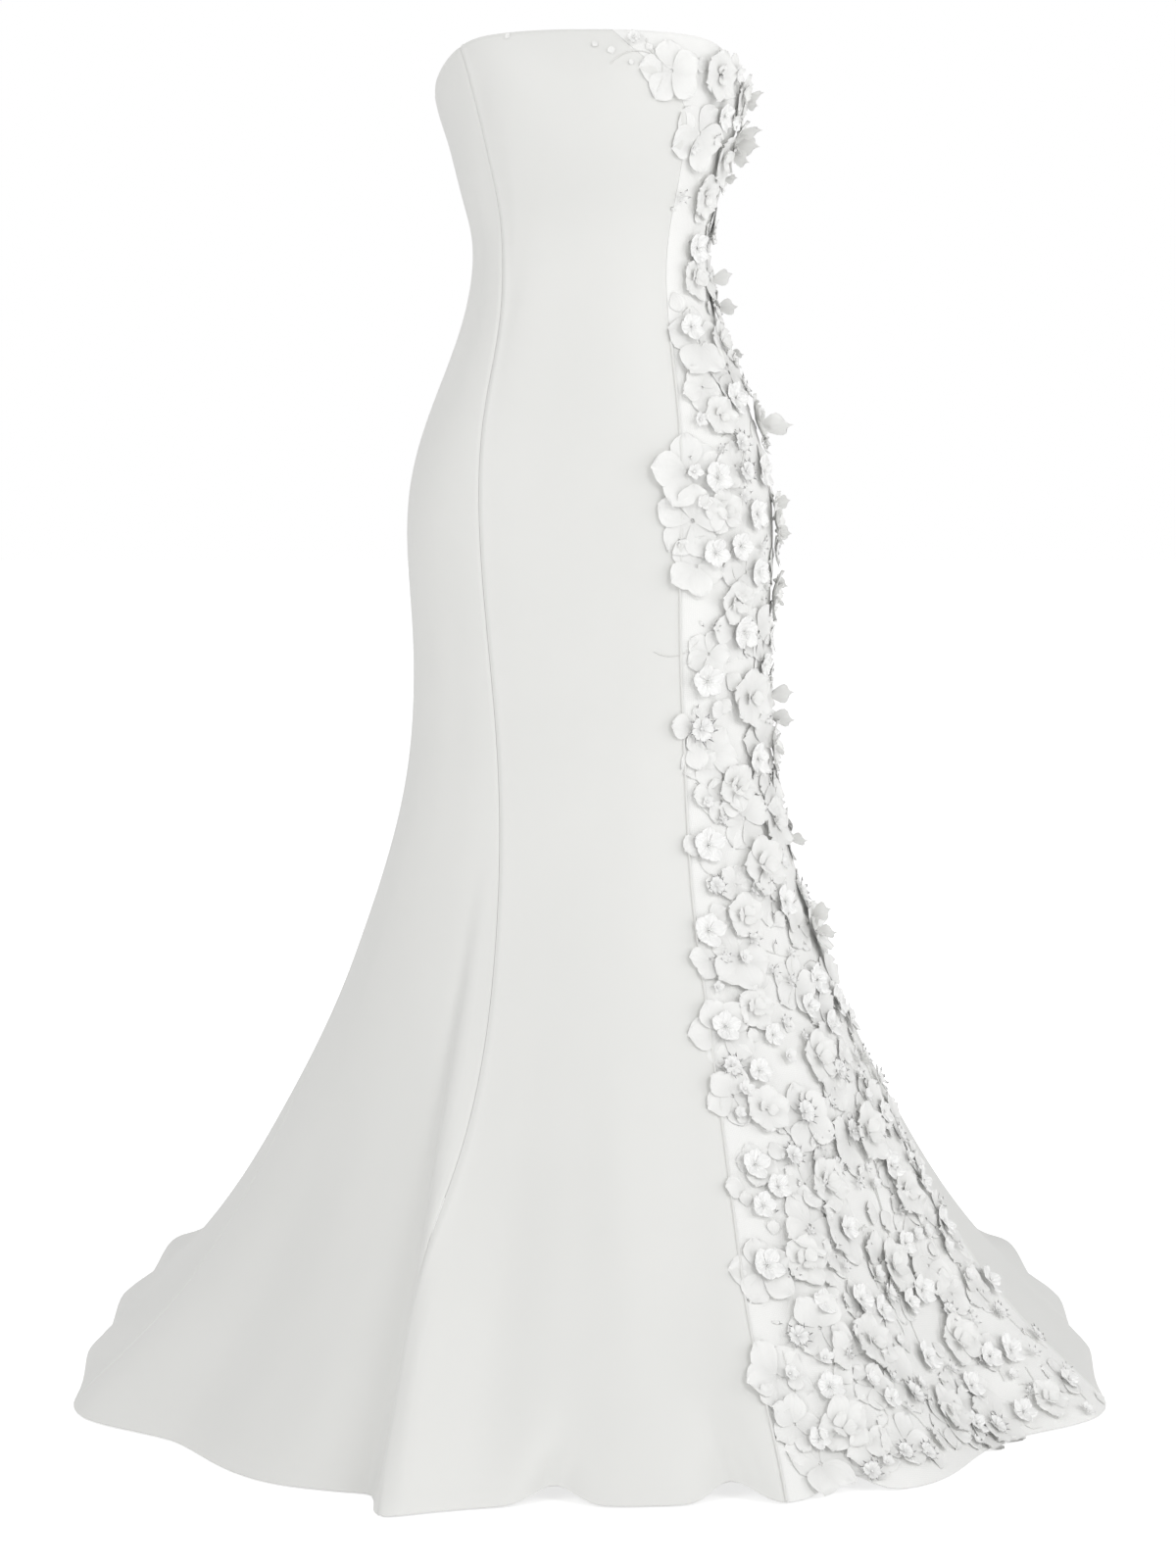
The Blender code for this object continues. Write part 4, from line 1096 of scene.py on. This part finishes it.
def cutTeeth():
    # one moulded tooth, copied down both edges and meshed in the middle
    length, thick, high = zipSettings["toothSize"]
    clearSelection()
    bpy.ops.mesh.primitive_cube_add(size=1.0)
    master = bpy.context.object
    bpy.ops.object.mode_set(mode="EDIT")
    bpy.ops.mesh.select_all(action="SELECT")
    bpy.ops.transform.resize(value=(length, thick, high))
    bpy.ops.mesh.bevel(offset=0.00028, segments=1, affect="EDGES")
    bpy.ops.object.mode_set(mode="OBJECT")
    shape = readPlaces(master)
    position = np.linspace(0.0, zipSettings["lastRing"] - 0.1, 2600)
    line = surfacePoint(np.full(len(position), math.pi), position)
    run = np.concatenate([[0.0], np.cumsum(np.linalg.norm(np.diff(line, axis=0), axis=1))])
    teeth = []
    count = int((run[-1] - zipSettings["firstToothDrop"]) / zipSettings["toothPitch"])
    for number in range(count * 2):
        side = 1.0 if number % 2 else -1.0
        along = zipSettings["firstToothDrop"] + number * zipSettings["toothPitch"] / 2.0
        ring = np.array([np.interp(along, run, position)])
        point = surfacePoint(np.array([math.pi]), ring)[0]
        normal = surfaceNormal(np.array([math.pi]), ring)[0]
        up = np.cross(normal, np.array([1.0, 0.0, 0.0]))
        up = up if up[2] > 0.0 else -up
        places = (
            shape[:, :1] * np.array([1.0, 0.0, 0.0]) + shape[:, 1:2] * normal + shape[:, 2:3] * up * 0.75
        )
        tooth = master.copy()
        tooth.data = master.data.copy()
        bpy.context.scene.collection.objects.link(tooth)
        writePlaces(tooth, places + point - normal * 0.0029 + np.array([side * 0.0009, 0.0, 0.0]))
        teeth.append(tooth)
    bpy.data.objects.remove(master)
    piece = joinPieces("zip_teeth", teeth)
    smoothShade(piece, 30.0)
    piece.data.materials.clear()
    piece.data.materials.append(enamel)
    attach(piece, "gown")
    return piece


tapes = [sewTape("zip_tape_right", -1.0), sewTape("zip_tape_left", 1.0)]
teeth = cutTeeth()
for name in ("zip_slider", "zip_pull"):
    for piece in bpy.data.objects:
        if piece.type == "MESH" and piece.get("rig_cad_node") == name:
            piece.data.materials.clear()
            piece.data.materials.append(enamel)
print("zip closed")

# studio

studio = {
    "floorColour": (0.90, 0.90, 0.90),
    "floorGlow": 0.66,
    "floorBounce": 0.12,
    "backdrop": 1.0,
    "ambient": 0.50,
    "keyPower": 178.0,
    "keyPlace": (5.0, -6.4, 4.0),
    "keySize": 3.6,
    "fillPower": 165.0,
    "fillPlace": (-4.6, -6.0, 2.6),
    "fillSize": 4.0,
    "sidePower": 88.0,
    "sidePlace": (6.4, -0.7, 0.9),
    "sideSize": 3.6,
    "rimPower": 45.0,
    "rimPlace": (-1.6, 3.4, 2.4),
    "rimSize": 2.4,
}


def buildStudio():
    clearSelection()
    bpy.ops.mesh.primitive_plane_add(size=1.0, location=(0.0, 0.0, 0.0))
    floor = bpy.context.object
    floor.name = "studio_floor"
    bpy.ops.object.mode_set(mode="EDIT")
    bpy.ops.mesh.select_all(action="SELECT")
    bpy.ops.transform.resize(value=(90.0, 90.0, 1.0))
    bpy.ops.transform.translate(value=(0.0, 0.0, -waistHeight))
    bpy.ops.object.mode_set(mode="OBJECT")
    material, tree, shader = newMaterial("studio paper", 0.9, 0.1, 0.0)
    shader.inputs["Base Color"].default_value = (*studio["floorColour"], 1.0)
    shader.inputs["Emission Color"].default_value = (1.0, 1.0, 1.0, 1.0)
    # the paper is blown out in the picture but throws little light up under the skirt
    sight = tree.nodes.new("ShaderNodeLightPath")
    glow = addNode(tree, "ShaderNodeMapRange", i3=studio["floorBounce"], i4=studio["floorGlow"])
    join(tree, sight, glow, "Is Camera Ray", 0)
    join(tree, glow, shader, 0, "Emission Strength")
    floor.data.materials.append(material)
    world = bpy.context.scene.world or bpy.data.worlds.new("studio air")
    bpy.context.scene.world = world
    world.use_nodes = True
    air = world.node_tree
    background = air.nodes["Background"]
    background.inputs["Color"].default_value = (1.0, 1.0, 1.0, 1.0)
    # the paper behind looks white while the air lights the cloth more softly
    path = air.nodes.new("ShaderNodeLightPath")
    level = air.nodes.new("ShaderNodeMapRange")
    level.inputs[3].default_value = studio["ambient"]
    level.inputs[4].default_value = studio["backdrop"]
    air.links.new(path.outputs["Is Camera Ray"], level.inputs[0])
    air.links.new(level.outputs[0], background.inputs["Strength"])
    bpy.context.scene.view_settings.view_transform = "Standard"
    for light in ("key", "fill", "side", "rim"):
        place = studio[light + "Place"]
        bpy.ops.object.light_add(type="AREA", location=place)
        lamp = bpy.context.object
        lamp.name = light + "_light"
        lamp.data.energy = studio[light + "Power"]
        lamp.data.size = studio[light + "Size"]
        away = np.array([0.0, 0.0, -0.35]) - np.array(place)
        flat = math.hypot(away[0], away[1])
        turn = math.atan2(away[1], away[0]) - math.pi / 2.0
        lamp.rotation_euler = (math.atan2(flat, -away[2]), 0.0, turn)


camera = {"place": (-0.0019, -4.0, -0.22), "tiltDown": 4.14, "lens": 95.0}


def placeCamera():
    bpy.ops.object.camera_add(
        location=camera["place"], rotation=(math.radians(90.0 - camera["tiltDown"]), 0.0, 0.0)
    )
    lens = bpy.context.object
    lens.name = "photograph_camera"
    lens.data.lens = camera["lens"]
    lens.data.sensor_width = 36.0
    bpy.context.scene.camera = lens


buildStudio()
placeCamera()
print("studio lit")
